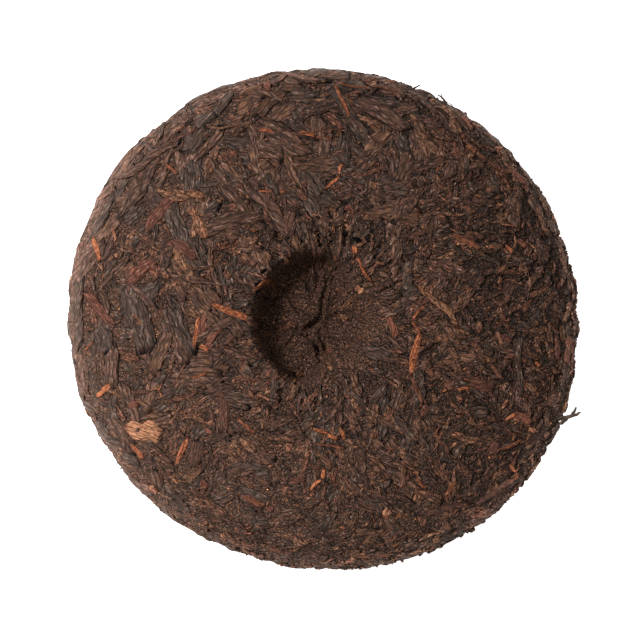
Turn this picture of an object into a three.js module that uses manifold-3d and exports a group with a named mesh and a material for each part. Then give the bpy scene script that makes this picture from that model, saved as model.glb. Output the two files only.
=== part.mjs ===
// A ripe pu erh tea cake: tea leaves steamed in a cloth bag and pressed into a thick round disc.
// It lies on its domed face, so the face with the hollow that the bag's knot leaves points up.
// Millimetres and degrees, +Z up. The origin is the middle of the flat spot that the cake rests on.
import * as THREE from "three";
import { mergeVertices } from "three/addons/utils/BufferGeometryUtils.js";
import Module from "manifold-3d";

// Driving dimensions of the pressed disc
const CAKE_RADIUS = 98;
const CAKE_HEIGHT = 26;
const EQUATOR_HEIGHT = 11.5;
const REST_RADIUS = 46;
const TOP_FULLNESS = 4;
const DOME_FULLNESS = 3;
const DOME_ROUNDING = 0.6;

// The outline is a circle with a few lobes: how many, how far out in millimetres, and the bearing of one
const OUTLINE_LOBES = [
  { count: 2, size: 1.6, bearing: 149 },
  { count: 3, size: 0.35, bearing: 74 },
  { count: 4, size: 0.25, bearing: 38 },
  { count: 13, size: 0.2, bearing: 5 },
  { count: 23, size: 0.15, bearing: 11 },
];

// The hollow that the knot of the bag leaves: gentle walls round one bearing, steep ones elsewhere.
// The share between the two walls runs from 0 on the gentle bearing to 1 on the opposite one.
const HOLLOW = { x: -1, y: -1.2, depth: 14 };
const GENTLE_WALL = { reach: 16, steepness: 4, lip: 1 };
const STEEP_WALL = { reach: 27.2, steepness: 20, lip: 6 };
const GENTLE_BEARING = -13;
const STEEP_SHARES = { start: 0.15, full: 0.6 };
const KNOT_PIT = { x: -4.2, y: -2.2, bearing: 40, length: 4.5, width: 2.4, depth: 2.4 };

// The cloth's gathers press creases that run out from the hollow and turn a little round it
const GATHERS = [
  { count: 13, depth: 1.1, twist: 0.5, phase: 0.3 },
  { count: 19, depth: 0.7, twist: -0.4, phase: 1.7 },
];
const GATHER_REACH = { start: 5, full: 15, fade: 30, end: 64 };
const GATHER_STRONG_BEARING = 80;
const GATHER_UNEVENNESS = 0.4;

// Slow swells of the pressed face: height in millimetres and wavelengths along X and Y
const SWELLS = [
  { height: 0.4, lengthX: 61, lengthY: 83, phase: 0.6 },
  { height: 0.3, lengthX: -37, lengthY: 43, phase: 2.1 },
  { height: 0.25, lengthX: 19, lengthY: 27, phase: 4.0 },
];

// Rings of the disc's mesh, as shares of the radius: rest spot out to the widest ring, then in over the top
const SEGMENTS = 64;
const UNDER_RINGS = [0, 0.47, 0.64, 0.78, 0.89, 0.965];
const TOP_RINGS = [
  1, 0.98, 0.93, 0.84, 0.74, 0.64, 0.54, 0.47, 0.41, 0.36, 0.31, 0.28, 0.265, 0.25, 0.23, 0.19,
  0.145, 0.1, 0.06, 0.025, 0,
];

// Uneven lumps of tea between the larger pieces: how far they move the skin, up or down
const LUMP_HEIGHT = 0.5;
const LUMP_SEED = 11;

// Leaf and stem pieces that are pressed into the face and the rim
const LEAF_SINK = 0.9;
const LEAF_PROUD = 0.75;
const STEM_PROUD = 1.1;
const PRESSED_LEAVES = 68;
const PRESSED_STEMS = 16;
const RIM_FLAKES = 20;
const DOME_LEAVES = 18;
const DRAW_SEED = 357;

// Sizes that the drawn pieces lie between: length and width of a leaf, a stem and a rim flake
const LEAF_SIZES = { length: [7, 19], width: [2.2, 5.2] };
const STEM_SIZES = { length: [5, 13], width: [1.3, 2.1] };
const FLAKE_SIZES = { length: [6, 14], width: [2, 4] };
const SHORT_LEAF_BIAS = 1.6;

// Radii that the drawn pieces lie between: leaves, stems, rim flakes, and leaves on the dome
const LEAF_RING = [16, 94];
const STEM_RING = [20, 94];
const FLAKE_RING = [93, 97.9];
const DOME_RING = [58, 97];

// Inside the near radius pieces point outwards, past the rim radius they lie along the rim
const NEAR_RADIUS = 40;
const RIM_RADIUS = 84;
const NEAR_LOOSENESS = 25;
const RIM_LOOSENESS = 30;

// Pieces that stand out in the face: X and Y of the middle, heading of the length, length and width
const MARKED_LEAVES = [
  { x: -63.7, y: 41.2, heading: 52, length: 16, width: 4.6 },
  { x: -87.8, y: 4.6, heading: -47, length: 18, width: 3.4 },
  { x: -55.1, y: 27, heading: -10, length: 12.6, width: 4.6 },
  { x: -72.9, y: 19.6, heading: 15, length: 14.5, width: 9 },
  { x: -12, y: 37.6, heading: 67, length: 11.3, width: 3.8 },
  { x: -27, y: 90, heading: 11, length: 26, width: 2.4 },
  { x: 44.3, y: 5.6, heading: -44, length: 20.5, width: 3.2 },
  { x: -70, y: -44.9, heading: -25, length: 13.8, width: 7 },
  { x: -50.7, y: -52.8, heading: 75, length: 11, width: 6 },
  { x: 95, y: -11.5, heading: -89, length: 12.6, width: 3.2 },
  { x: 76.2, y: -12.4, heading: -85, length: 9, width: 3.5 },
  { x: 60, y: -25, heading: -8, length: 11, width: 4 },
  { x: 66, y: -49.6, heading: 49, length: 7.4, width: 4.5 },
  { x: 55.6, y: -70.2, heading: 22, length: 40, width: 3.4 },
  { x: 27, y: -3.6, heading: -85, length: 9, width: 3 },
];
const MARKED_STEMS = [
  { x: -87.8, y: 27.7, heading: -75, length: 10.4, width: 2.2 },
  { x: -36, y: 3.3, heading: -18, length: 17, width: 2.4 },
  { x: -49.8, y: -4.9, heading: 78, length: 12.9, width: 1.7 },
  { x: 7.3, y: 86.8, heading: -69, length: 15, width: 1.9 },
  { x: 16, y: 92.4, heading: -10, length: 21, width: 1.6 },
  { x: -85.6, y: -27.5, heading: 40, length: 6.8, width: 2 },
  { x: -73.7, y: -52.6, heading: -47, length: 7.1, width: 1.9 },
  { x: -55.9, y: -52.2, heading: 70, length: 11.9, width: 2 },
  { x: 34.3, y: -17.8, heading: 79, length: 11, width: 2.2 },
  { x: 56, y: 31.2, heading: -24, length: 11.8, width: 2.2 },
];

// Shreds: how deep the root is in the rim, how high it lies, thickness, sag and width left at the tip
const SHRED_ROOT = 2.2;
const SHRED_LIFT = 1.5;
const SHRED_THICKNESS = 0.9;
const SHRED_SAG = 1.2;
const SHRED_TAPER = 0.35;

// Shreds that stick out past the rim: bearing of the root, heading of the length, length and width
const LOOSE_SHREDS = [
  { bearing: 61, heading: -42, length: 14, width: 1.6 },
  { bearing: 67.5, heading: 25, length: 4, width: 1.4 },
  { bearing: -24, heading: 13, length: 12, width: 2.6 },
  { bearing: 181, heading: 140, length: 4.5, width: 2.4 },
  { bearing: 146.5, heading: 232, length: 6.5, width: 2.2 },
];

const toRadians = THREE.MathUtils.degToRad;
const { clamp, lerp, smoothstep } = THREE.MathUtils;

// A small seeded generator of numbers from 0 to 1, so that the same pieces come out each time.
function seededDraw(seed) {
  let state = seed >>> 0;
  return () => {
    state = (state + 0x6d2b79f5) >>> 0;
    let mixed = Math.imul(state ^ (state >>> 15), 1 | state);
    mixed = (mixed + Math.imul(mixed ^ (mixed >>> 7), 61 | mixed)) ^ mixed;
    return ((mixed ^ (mixed >>> 14)) >>> 0) / 2 ** 32;
  };
}

// The cake's radius at a bearing in radians.
function outlineRadius(bearing) {
  return OUTLINE_LOBES.reduce(
    (radius, lobe) =>
      radius + lobe.size * Math.cos(lobe.count * (bearing - toRadians(lobe.bearing))),
    CAKE_RADIUS,
  );
}

// Height of the undented top at a share of the radius: level in the middle, round at the edge.
function topHeight(share) {
  const level = Math.sqrt(Math.max(0, 1 - share ** TOP_FULLNESS));
  return EQUATOR_HEIGHT + (CAKE_HEIGHT - EQUATOR_HEIGHT) * level;
}

// Height of the underside: flat inside the rest spot, then a dome that rises to the widest ring.
function underHeight(share) {
  const rest = REST_RADIUS / CAKE_RADIUS;
  const out = Math.max(0, (share - rest) / (1 - rest));
  return EQUATOR_HEIGHT * (1 - Math.max(0, 1 - out ** DOME_FULLNESS) ** DOME_ROUNDING);
}

// How far the knot of the bag pushed the face down at a point.
function hollowDepth(x, y) {
  const dx = x - HOLLOW.x;
  const dy = y - HOLLOW.y;
  const away = Math.hypot(dx, dy);
  const turned = Math.atan2(dy, dx) - toRadians(GENTLE_BEARING);
  const opposite = 0.5 - 0.5 * Math.cos(turned);
  const steep = smoothstep(opposite, STEEP_SHARES.start, STEEP_SHARES.full);
  const wall = (number) => lerp(GENTLE_WALL[number], STEEP_WALL[number], steep);
  const bowl = HOLLOW.depth / (1 + (away / wall("reach")) ** wall("steepness")) ** wall("lip");
  const turn = toRadians(KNOT_PIT.bearing);
  const along = (x - KNOT_PIT.x) * Math.cos(turn) + (y - KNOT_PIT.y) * Math.sin(turn);
  const across = (y - KNOT_PIT.y) * Math.cos(turn) - (x - KNOT_PIT.x) * Math.sin(turn);
  const spread = (along / KNOT_PIT.length) ** 2 + (across / KNOT_PIT.width) ** 2;
  return bowl + KNOT_PIT.depth * Math.exp(-spread);
}

// Depth of the sharp creases that the gathered cloth pressed round the hollow.
function gatherDepth(x, y) {
  const dx = x - HOLLOW.x;
  const dy = y - HOLLOW.y;
  const away = Math.hypot(dx, dy);
  const bearing = Math.atan2(dy, dx);
  const rise = smoothstep(away, GATHER_REACH.start, GATHER_REACH.full);
  const fade = 1 - smoothstep(away, GATHER_REACH.fade, GATHER_REACH.end);
  const lean = Math.cos(bearing - toRadians(GATHER_STRONG_BEARING));
  const strength = rise * fade * (1 - GATHER_UNEVENNESS + GATHER_UNEVENNESS * lean);
  return GATHERS.reduce((depth, gather) => {
    const turned = bearing + (gather.twist * away) / GATHER_REACH.fade;
    const fold = 1 - Math.abs(Math.cos((gather.count * turned + gather.phase) / 2));
    return depth + gather.depth * strength * fold ** 2;
  }, 0);
}

// Slow swells of the face, in millimetres.
function swell(x, y) {
  return SWELLS.reduce(
    (height, wave) =>
      height +
      wave.height *
        Math.sin(2 * Math.PI * (x / wave.lengthX + y / wave.lengthY) + wave.phase),
    0,
  );
}

// A point of the cake's skin, from its bearing in radians, its share of the radius and its side.
function skinPoint(bearing, share, isTop) {
  const radius = share * outlineRadius(bearing);
  const x = radius * Math.cos(bearing);
  const y = radius * Math.sin(bearing);
  const rest = REST_RADIUS / CAKE_RADIUS;
  if (!isTop) {
    const free = smoothstep(share, rest, 1) * (1 - smoothstep(share, 0.9, 1));
    return new THREE.Vector3(x, y, Math.max(0, underHeight(share) + swell(x, y) * free));
  }
  const edge = 1 - smoothstep(share, 0.85, 1);
  const dents = hollowDepth(x, y) + gatherDepth(x, y);
  return new THREE.Vector3(x, y, topHeight(share) + swell(x, y) * edge - dents);
}

// The disc's section without its hollow, as steps along the skin from the middle of the top.
const SECTION_STEPS = 400;
const section = (() => {
  const steps = [];
  let along = 0;
  let last = null;
  for (let i = 0; i <= 2 * SECTION_STEPS; i++) {
    const isTop = i <= SECTION_STEPS;
    const quarter = ((isTop ? i : 2 * SECTION_STEPS - i) / SECTION_STEPS) * (Math.PI / 2);
    const share = Math.sin(quarter);
    const height = isTop ? topHeight(share) : underHeight(share);
    if (last) along += Math.hypot((share - last.share) * CAKE_RADIUS, height - last.height);
    last = { along, share, height, isTop };
    steps.push(last);
  }
  return steps;
})();

// The skin's point for a point of the flat chart: the chart's distance from its middle is the way
// along the skin from the middle of the top, and its direction is the bearing.
function chartPoint(chartX, chartY) {
  const along = clamp(Math.hypot(chartX, chartY), 0, section[section.length - 1].along);
  const found = section.findIndex((step) => step.along >= along);
  const next = section[Math.max(1, found)];
  const last = section[Math.max(0, found - 1)];
  const part = (along - last.along) / (next.along - last.along || 1);
  return skinPoint(Math.atan2(chartY, chartX), lerp(last.share, next.share, part), next.isTop);
}

// The skin's outward direction at a point of the chart, from two short steps on the chart.
function chartNormal(chartX, chartY) {
  const step = 0.8;
  const east = chartPoint(chartX + step, chartY).sub(chartPoint(chartX - step, chartY));
  const north = chartPoint(chartX, chartY + step).sub(chartPoint(chartX, chartY - step));
  return east.cross(north).normalize();
}

// The chart's distance from its middle for a distance from the axis, on the top or underneath.
function chartDistance(radius, isTop) {
  const share = radius / CAKE_RADIUS;
  const side = section.filter((step) => step.isTop === isTop);
  return side.reduce((best, step) =>
    Math.abs(step.share - share) < Math.abs(best.share - share) ? step : best,
  ).along;
}

// The flat section of the disc, turned round the axis, then moved onto the uneven skin.
function discGeometry() {
  const rings = [
    ...UNDER_RINGS.map((share) => ({ share, isTop: false })),
    ...TOP_RINGS.map((share) => ({ share, isTop: true })),
  ];
  const profile = rings.map(
    ({ share, isTop }) =>
      new THREE.Vector2(share * CAKE_RADIUS, isTop ? topHeight(share) : underHeight(share)),
  );
  const geometry = new THREE.LatheGeometry(profile, SEGMENTS);
  const place = geometry.getAttribute("position");
  const draw = seededDraw(LUMP_SEED);
  const lumps = Array.from({ length: SEGMENTS * rings.length }, () => lerp(-1, 1, draw()));
  for (let i = 0; i < place.count; i++) {
    const { share, isTop } = rings[i % rings.length];
    const segment = Math.floor(i / rings.length) % SEGMENTS;
    const bearing = (segment / SEGMENTS) * 2 * Math.PI;
    const point = skinPoint(bearing, share, isTop);
    const start = isTop ? 0.1 : REST_RADIUS / CAKE_RADIUS;
    const lump = LUMP_HEIGHT * lumps[segment * rings.length + (i % rings.length)];
    const height = point.z + lump * smoothstep(share, start, start + 0.3);
    place.setXYZ(i, point.x, point.y, Math.max(0, height));
  }
  return geometry;
}

// A closed leaf or stem, laid on the skin. Its length is split into steps and its width into strips.
// It narrows to its tips, waves along its length, and its lower face is sunk in the cake.
function pressedPiece(piece) {
  const { chartX, chartY, heading, length, width, proud, sink, steps } = piece;
  const geometry = new THREE.BoxGeometry(length, width, 1, steps, 1, 1);
  const place = geometry.getAttribute("position");
  const away = Math.hypot(chartX, chartY) || 1;
  const outX = chartX / away;
  const outY = chartY / away;
  const onSkin = chartPoint(chartX, chartY);
  const stretch = clamp(away / Math.max(1, Math.hypot(onSkin.x, onSkin.y)), 0.8, 4);
  const turn = toRadians(heading);
  for (let i = 0; i < place.count; i++) {
    const alongShare = (2 * place.getX(i)) / length;
    const taper = lerp(piece.tip, 1, Math.sqrt(Math.max(0, 1 - alongShare ** 2)));
    const bow = piece.bow * length * (1 - alongShare ** 2);
    const isUpper = place.getZ(i) > 0;
    const forward = place.getX(i);
    const sideways = place.getY(i) * taper * (isUpper ? piece.backShare : 1) + bow;
    const dx = forward * Math.cos(turn) - sideways * Math.sin(turn);
    const dy = forward * Math.sin(turn) + sideways * Math.cos(turn);
    const out = dx * outX + dy * outY;
    const round = (dy * outX - dx * outY) * stretch;
    const px = chartX + out * outX - round * outY;
    const py = chartY + out * outY + round * outX;
    const wave = 1 + 0.25 * Math.sin(4 * alongShare + piece.phase);
    const lift = isUpper ? proud * wave : -sink;
    const at = chartPoint(px, py).addScaledVector(chartNormal(px, py), lift);
    place.setXYZ(i, at.x, at.y, Math.max(0, at.z));
  }
  return geometry;
}

// A leaf piece for a place on the chart.
const leafAt = (chartX, chartY, heading, length, width, draw) => ({
  chartX,
  chartY,
  heading,
  length,
  width,
  proud: LEAF_PROUD * lerp(0.7, 1.25, draw()),
  sink: LEAF_SINK,
  steps: length > 12 ? 3 : 2,
  tip: lerp(0.15, 0.6, draw()),
  bow: lerp(-0.08, 0.08, draw()),
  backShare: 1,
  phase: 6 * draw(),
});

// A stem piece for a place on the chart: narrow, blunt and round-backed.
const stemAt = (chartX, chartY, heading, length, width, draw) => ({
  ...leafAt(chartX, chartY, heading, length, width, draw),
  proud: STEM_PROUD * lerp(0.8, 1.15, draw()),
  tip: 0.75,
  backShare: 0.5,
});

// The chart's place for a point of the top, seen from above.
function chartPlace(x, y) {
  const radius = Math.min(Math.hypot(x, y), CAKE_RADIUS);
  const along = chartDistance(radius, true);
  const bearing = Math.atan2(y, x);
  return [along * Math.cos(bearing), along * Math.sin(bearing)];
}

// Leaves and stems spread evenly by the sunflower rule from an inner to an outer radius, by area.
// Near the hollow they point outwards, near the rim along it, and between them any way.
function spreadPieces(count, [inner, outer], isTop, draw, makePiece) {
  const goldenTurn = Math.PI * (3 - Math.sqrt(5));
  return Array.from({ length: count }, (_, i) => {
    const radius = Math.sqrt(lerp(inner ** 2, outer ** 2, (i + draw()) / count));
    const bearing = i * goldenTurn + 0.5 * draw();
    const along = chartDistance(radius, isTop);
    const outward = THREE.MathUtils.radToDeg(bearing);
    const isNear = radius < NEAR_RADIUS;
    const isRim = radius > RIM_RADIUS;
    const looseness = isNear ? NEAR_LOOSENESS : isRim ? RIM_LOOSENESS : 90;
    const base = isRim ? outward + 90 : outward;
    const heading = base + looseness * lerp(-1, 1, draw());
    return makePiece(along * Math.cos(bearing), along * Math.sin(bearing), heading, draw);
  });
}

// A thin shred that is rooted in the rim and sticks out of it.
function looseShred({ bearing, heading, length, width }) {
  const steps = 3;
  const geometry = new THREE.BoxGeometry(length, width, 1, steps, 1, 1);
  const place = geometry.getAttribute("position");
  const turn = toRadians(bearing);
  const root = outlineRadius(turn) - SHRED_ROOT;
  for (let i = 0; i < place.count; i++) {
    const share = place.getX(i) / length + 0.5;
    const taper = lerp(1, SHRED_TAPER, share);
    const sag = SHRED_SAG * Math.sin(Math.PI * share);
    const over = place.getZ(i) * SHRED_THICKNESS * taper;
    const lift = EQUATOR_HEIGHT + SHRED_LIFT + sag + over;
    place.setXYZ(i, share * length, place.getY(i) * taper + sag, lift);
  }
  geometry.rotateZ(toRadians(heading));
  geometry.translate(root * Math.cos(turn), root * Math.sin(turn), 0);
  return geometry;
}

const wasm = await Module();
wasm.setup();

// A closed geometry as a solid: seams are merged, and triangles that collapse at the axis dropped.
function solidOf(geometry) {
  geometry.deleteAttribute("normal");
  geometry.deleteAttribute("uv");
  const merged = mergeVertices(geometry, 1e-4);
  const corners = merged.index.array;
  const kept = [];
  for (let i = 0; i < corners.length; i += 3) {
    const [a, b, c] = corners.slice(i, i + 3);
    if (a !== b && b !== c && c !== a) kept.push(a, b, c);
  }
  return new wasm.Manifold(
    new wasm.Mesh({
      numProp: 3,
      vertProperties: merged.getAttribute("position").array,
      triVerts: new Uint32Array(kept),
    }),
  );
}

// A solid as a geometry with flat faces.
function geometryOf(solid) {
  const mesh = solid.getMesh();
  const geometry = new THREE.BufferGeometry();
  geometry.setAttribute("position", new THREE.BufferAttribute(mesh.vertProperties, 3));
  geometry.setIndex(new THREE.BufferAttribute(mesh.triVerts, 1));
  const flat = geometry.toNonIndexed();
  flat.computeVertexNormals();
  return flat;
}

// Every piece that is pressed into the cake, the ones that stand out first.
function pressedPieces() {
  const draw = seededDraw(DRAW_SEED);
  const marked = (list, makePiece) =>
    list.map(({ x, y, heading, length, width }) =>
      makePiece(...chartPlace(x, y), heading, length, width, draw),
    );
  const between = ([low, high], share) => lerp(low, high, share);
  const drawn = (makePiece, sizes, bias) => (x, y, heading) => {
    const length = between(sizes.length, draw() ** bias);
    return makePiece(x, y, heading, length, between(sizes.width, draw()), draw);
  };
  const leaf = drawn(leafAt, LEAF_SIZES, SHORT_LEAF_BIAS);
  const stem = drawn(stemAt, STEM_SIZES, 1);
  const flake = drawn(leafAt, FLAKE_SIZES, 1);
  return [
    ...marked(MARKED_LEAVES, leafAt),
    ...marked(MARKED_STEMS, stemAt),
    ...spreadPieces(PRESSED_LEAVES, LEAF_RING, true, draw, leaf),
    ...spreadPieces(PRESSED_STEMS, STEM_RING, true, draw, stem),
    ...spreadPieces(RIM_FLAKES, FLAKE_RING, true, draw, flake),
    ...spreadPieces(DOME_LEAVES, DOME_RING, false, draw, leaf),
  ];
}

// The whole cake: the disc with its pieces joined on. Of the joined bodies the largest is the cake.
function cakeSolid() {
  const parts = [...pressedPieces().map(pressedPiece), ...LOOSE_SHREDS.map(looseShred)];
  const joined = parts.reduce((cake, part) => cake.add(solidOf(part)), solidOf(discGeometry()));
  return joined
    .decompose()
    .reduce((largest, body) => (body.volume() > largest.volume() ? body : largest));
}

const pressedTea = new THREE.MeshStandardMaterial({
  name: "pressed_tea",
  color: "#4b362c",
  roughness: 0.75,
  metalness: 0,
});

const teaCake = new THREE.Mesh(geometryOf(cakeSolid()), pressedTea);
teaCake.name = "tea_cake";

const model = new THREE.Group();
model.add(teaCake);

export default model;
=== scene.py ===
"""A ripe pu erh tea cake, dressed over its CAD solid.

Steamed tea leaves are twisted up in a cloth bag and pressed under a stone into a thick round
disc. The knot of the bag leaves a hollow in one face, and the gathered cloth leaves creases that
run out from it. This script lays thousands of wilted leaves, stems and crumbs over the same skin
that the CAD solid has, one upon the other, and presses them nearly level.

Lengths are millimetres until a mesh is made, where they become metres.
"""

from __future__ import annotations

import logging
import math
from dataclasses import dataclass, field
from enum import Enum
from functools import cached_property

import bpy
import numpy as np
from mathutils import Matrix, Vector
from numpy.typing import NDArray

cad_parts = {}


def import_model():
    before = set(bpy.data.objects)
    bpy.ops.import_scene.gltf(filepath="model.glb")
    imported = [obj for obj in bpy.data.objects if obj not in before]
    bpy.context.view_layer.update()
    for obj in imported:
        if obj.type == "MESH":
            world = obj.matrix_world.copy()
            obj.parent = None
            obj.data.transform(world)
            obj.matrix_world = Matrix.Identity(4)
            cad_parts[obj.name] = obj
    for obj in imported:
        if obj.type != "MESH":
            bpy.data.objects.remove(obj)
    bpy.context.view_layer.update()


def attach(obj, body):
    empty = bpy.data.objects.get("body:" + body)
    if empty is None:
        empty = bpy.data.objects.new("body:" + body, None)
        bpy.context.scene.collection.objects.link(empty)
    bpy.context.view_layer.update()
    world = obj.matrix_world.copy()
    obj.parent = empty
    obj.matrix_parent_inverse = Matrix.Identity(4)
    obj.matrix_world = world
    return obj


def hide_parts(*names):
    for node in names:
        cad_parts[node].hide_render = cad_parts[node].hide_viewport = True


Array = NDArray[np.float64]
LOG = logging.getLogger("tea_cake")
METRE = 0.001
NODE = "tea_cake"


class Side(Enum):
    """The two faces of the cake, each with a flat chart of its own."""

    TOP = "top"
    UNDER = "under"


class Kind(Enum):
    """The kinds of tea that are pressed together, each joined into one mesh."""

    DARK_LEAF = "dark_leaves"
    BROWN_LEAF = "brown_leaves"
    RUSSET_LEAF = "russet_leaves"
    FRAGMENT = "leaf_fragments"
    STEM = "stems"
    CRUMB = "crumbs"


def smoothstep(value: Array, low: float, high: float) -> Array:
    """Rise smoothly from 0 at one value to 1 at another: 3s^2 - 2s^3 of the clipped share s.

    Args:
        value: The values to map.
        low: Where the rise starts.
        high: Where the rise ends.

    Returns:
        The mapped values.
    """
    share = np.clip((value - low) / (high - low), 0.0, 1.0)
    return share * share * (3.0 - 2.0 * share)


@dataclass(frozen=True)
class Lobe:
    """One cosine term of the outline: lobes round the cake, their size and the bearing of one."""

    count: int
    size: float
    bearing: float


@dataclass(frozen=True)
class Gather:
    """A family of cloth creases: how many, how deep, how far they turn, and where they start."""

    count: int
    depth: float
    twist: float
    phase: float


@dataclass(frozen=True)
class Wall:
    """The hollow's wall in one direction: its reach, its steepness and how sharp its lip is."""

    reach: float
    steepness: float
    lip: float


@dataclass(frozen=True)
class Swell:
    """A slow wave of the pressed face: its height and its wavelengths along X and Y."""

    height: float
    length_x: float
    length_y: float
    phase: float


@dataclass(frozen=True)
class Fold:
    """A sharp fold that the knot pressed in: its two ends, its bow to the left, depth and width."""

    x_start: float
    y_start: float
    x_end: float
    y_end: float
    bow: float
    depth: float
    width: float


FOLDS: tuple[Fold, ...] = (
    Fold(-7.9, -4.7, -0.6, 0.3, -0.8, 2.0, 1.2),
    Fold(-0.6, 0.0, 2.4, 13.0, 1.1, 1.3, 0.8),
    Fold(2.4, 13.0, 12.6, 21.8, 1.1, 1.0, 0.9),
    Fold(7.4, -7.8, 17.6, -13.0, 1.1, 1.0, 0.8),
    Fold(17.6, -13.0, 22.9, -10.8, 0.8, 0.7, 0.8),
    Fold(-8.7, -6.2, -2.9, -15.5, 2.7, 1.6, 0.9),
    Fold(-6.8, -7.0, -2.2, -7.0, 0.8, 1.4, 0.8),
    Fold(-2.2, -5.4, 6.6, -19.0, -0.8, 1.3, 0.9),
    Fold(-9.1, -1.6, -16.3, -13.2, 0.8, 0.7, 0.7),
    Fold(-2.6, -9.3, -0.6, -19.6, 0.0, 1.1, 0.8),
    Fold(1.7, -0.1, 13.9, 1.8, 0.8, 1.2, 0.9),
    Fold(-1.8, 33.2, -1.8, 22.6, 0.0, 1.4, 0.7),
    Fold(8.5, 44.0, 7.3, 23.4, 0.8, 1.2, 0.7),
    Fold(-18.9, 34.0, -11.7, 19.7, -0.4, 1.2, 0.7),
    Fold(-30.7, 34.0, -22.6, 16.5, -0.4, 0.8, 0.6),
    Fold(19.9, 38.2, 14.5, 24.9, 0.8, 1.2, 0.7),
    Fold(28.3, 42.1, 16.8, 18.0, 1.1, 1.0, 0.7),
    Fold(33.5, 14.2, 16.5, 6.2, -0.8, 0.6, 0.8),
    Fold(-9.0, 42.0, -6.7, 22.6, 0.0, 1.0, 0.6),
    Fold(3.2, 45.5, 2.8, 24.1, -0.4, 0.8, 0.6),
    Fold(-23.4, -16.2, -29.4, -20.0, 0.0, 0.8, 0.7),
    Fold(-16.2, -25.3, -17.7, -36.6, 0.8, 0.9, 0.7),
    Fold(-9.0, -26.0, -9.0, -37.8, 0.4, 0.7, 0.6),
    Fold(-23.3, -23.8, -32.4, -39.7, 1.1, 0.8, 0.7),
    Fold(-2.2, 17.9, -4.5, 6.9, 0.8, 1.2, 0.9),
    Fold(-12.9, 6.9, -9.1, 0.0, 0.8, 1.1, 0.8),
    Fold(8.1, -21.4, 10.7, -30.2, 0.0, 0.7, 0.6),
)


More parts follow.
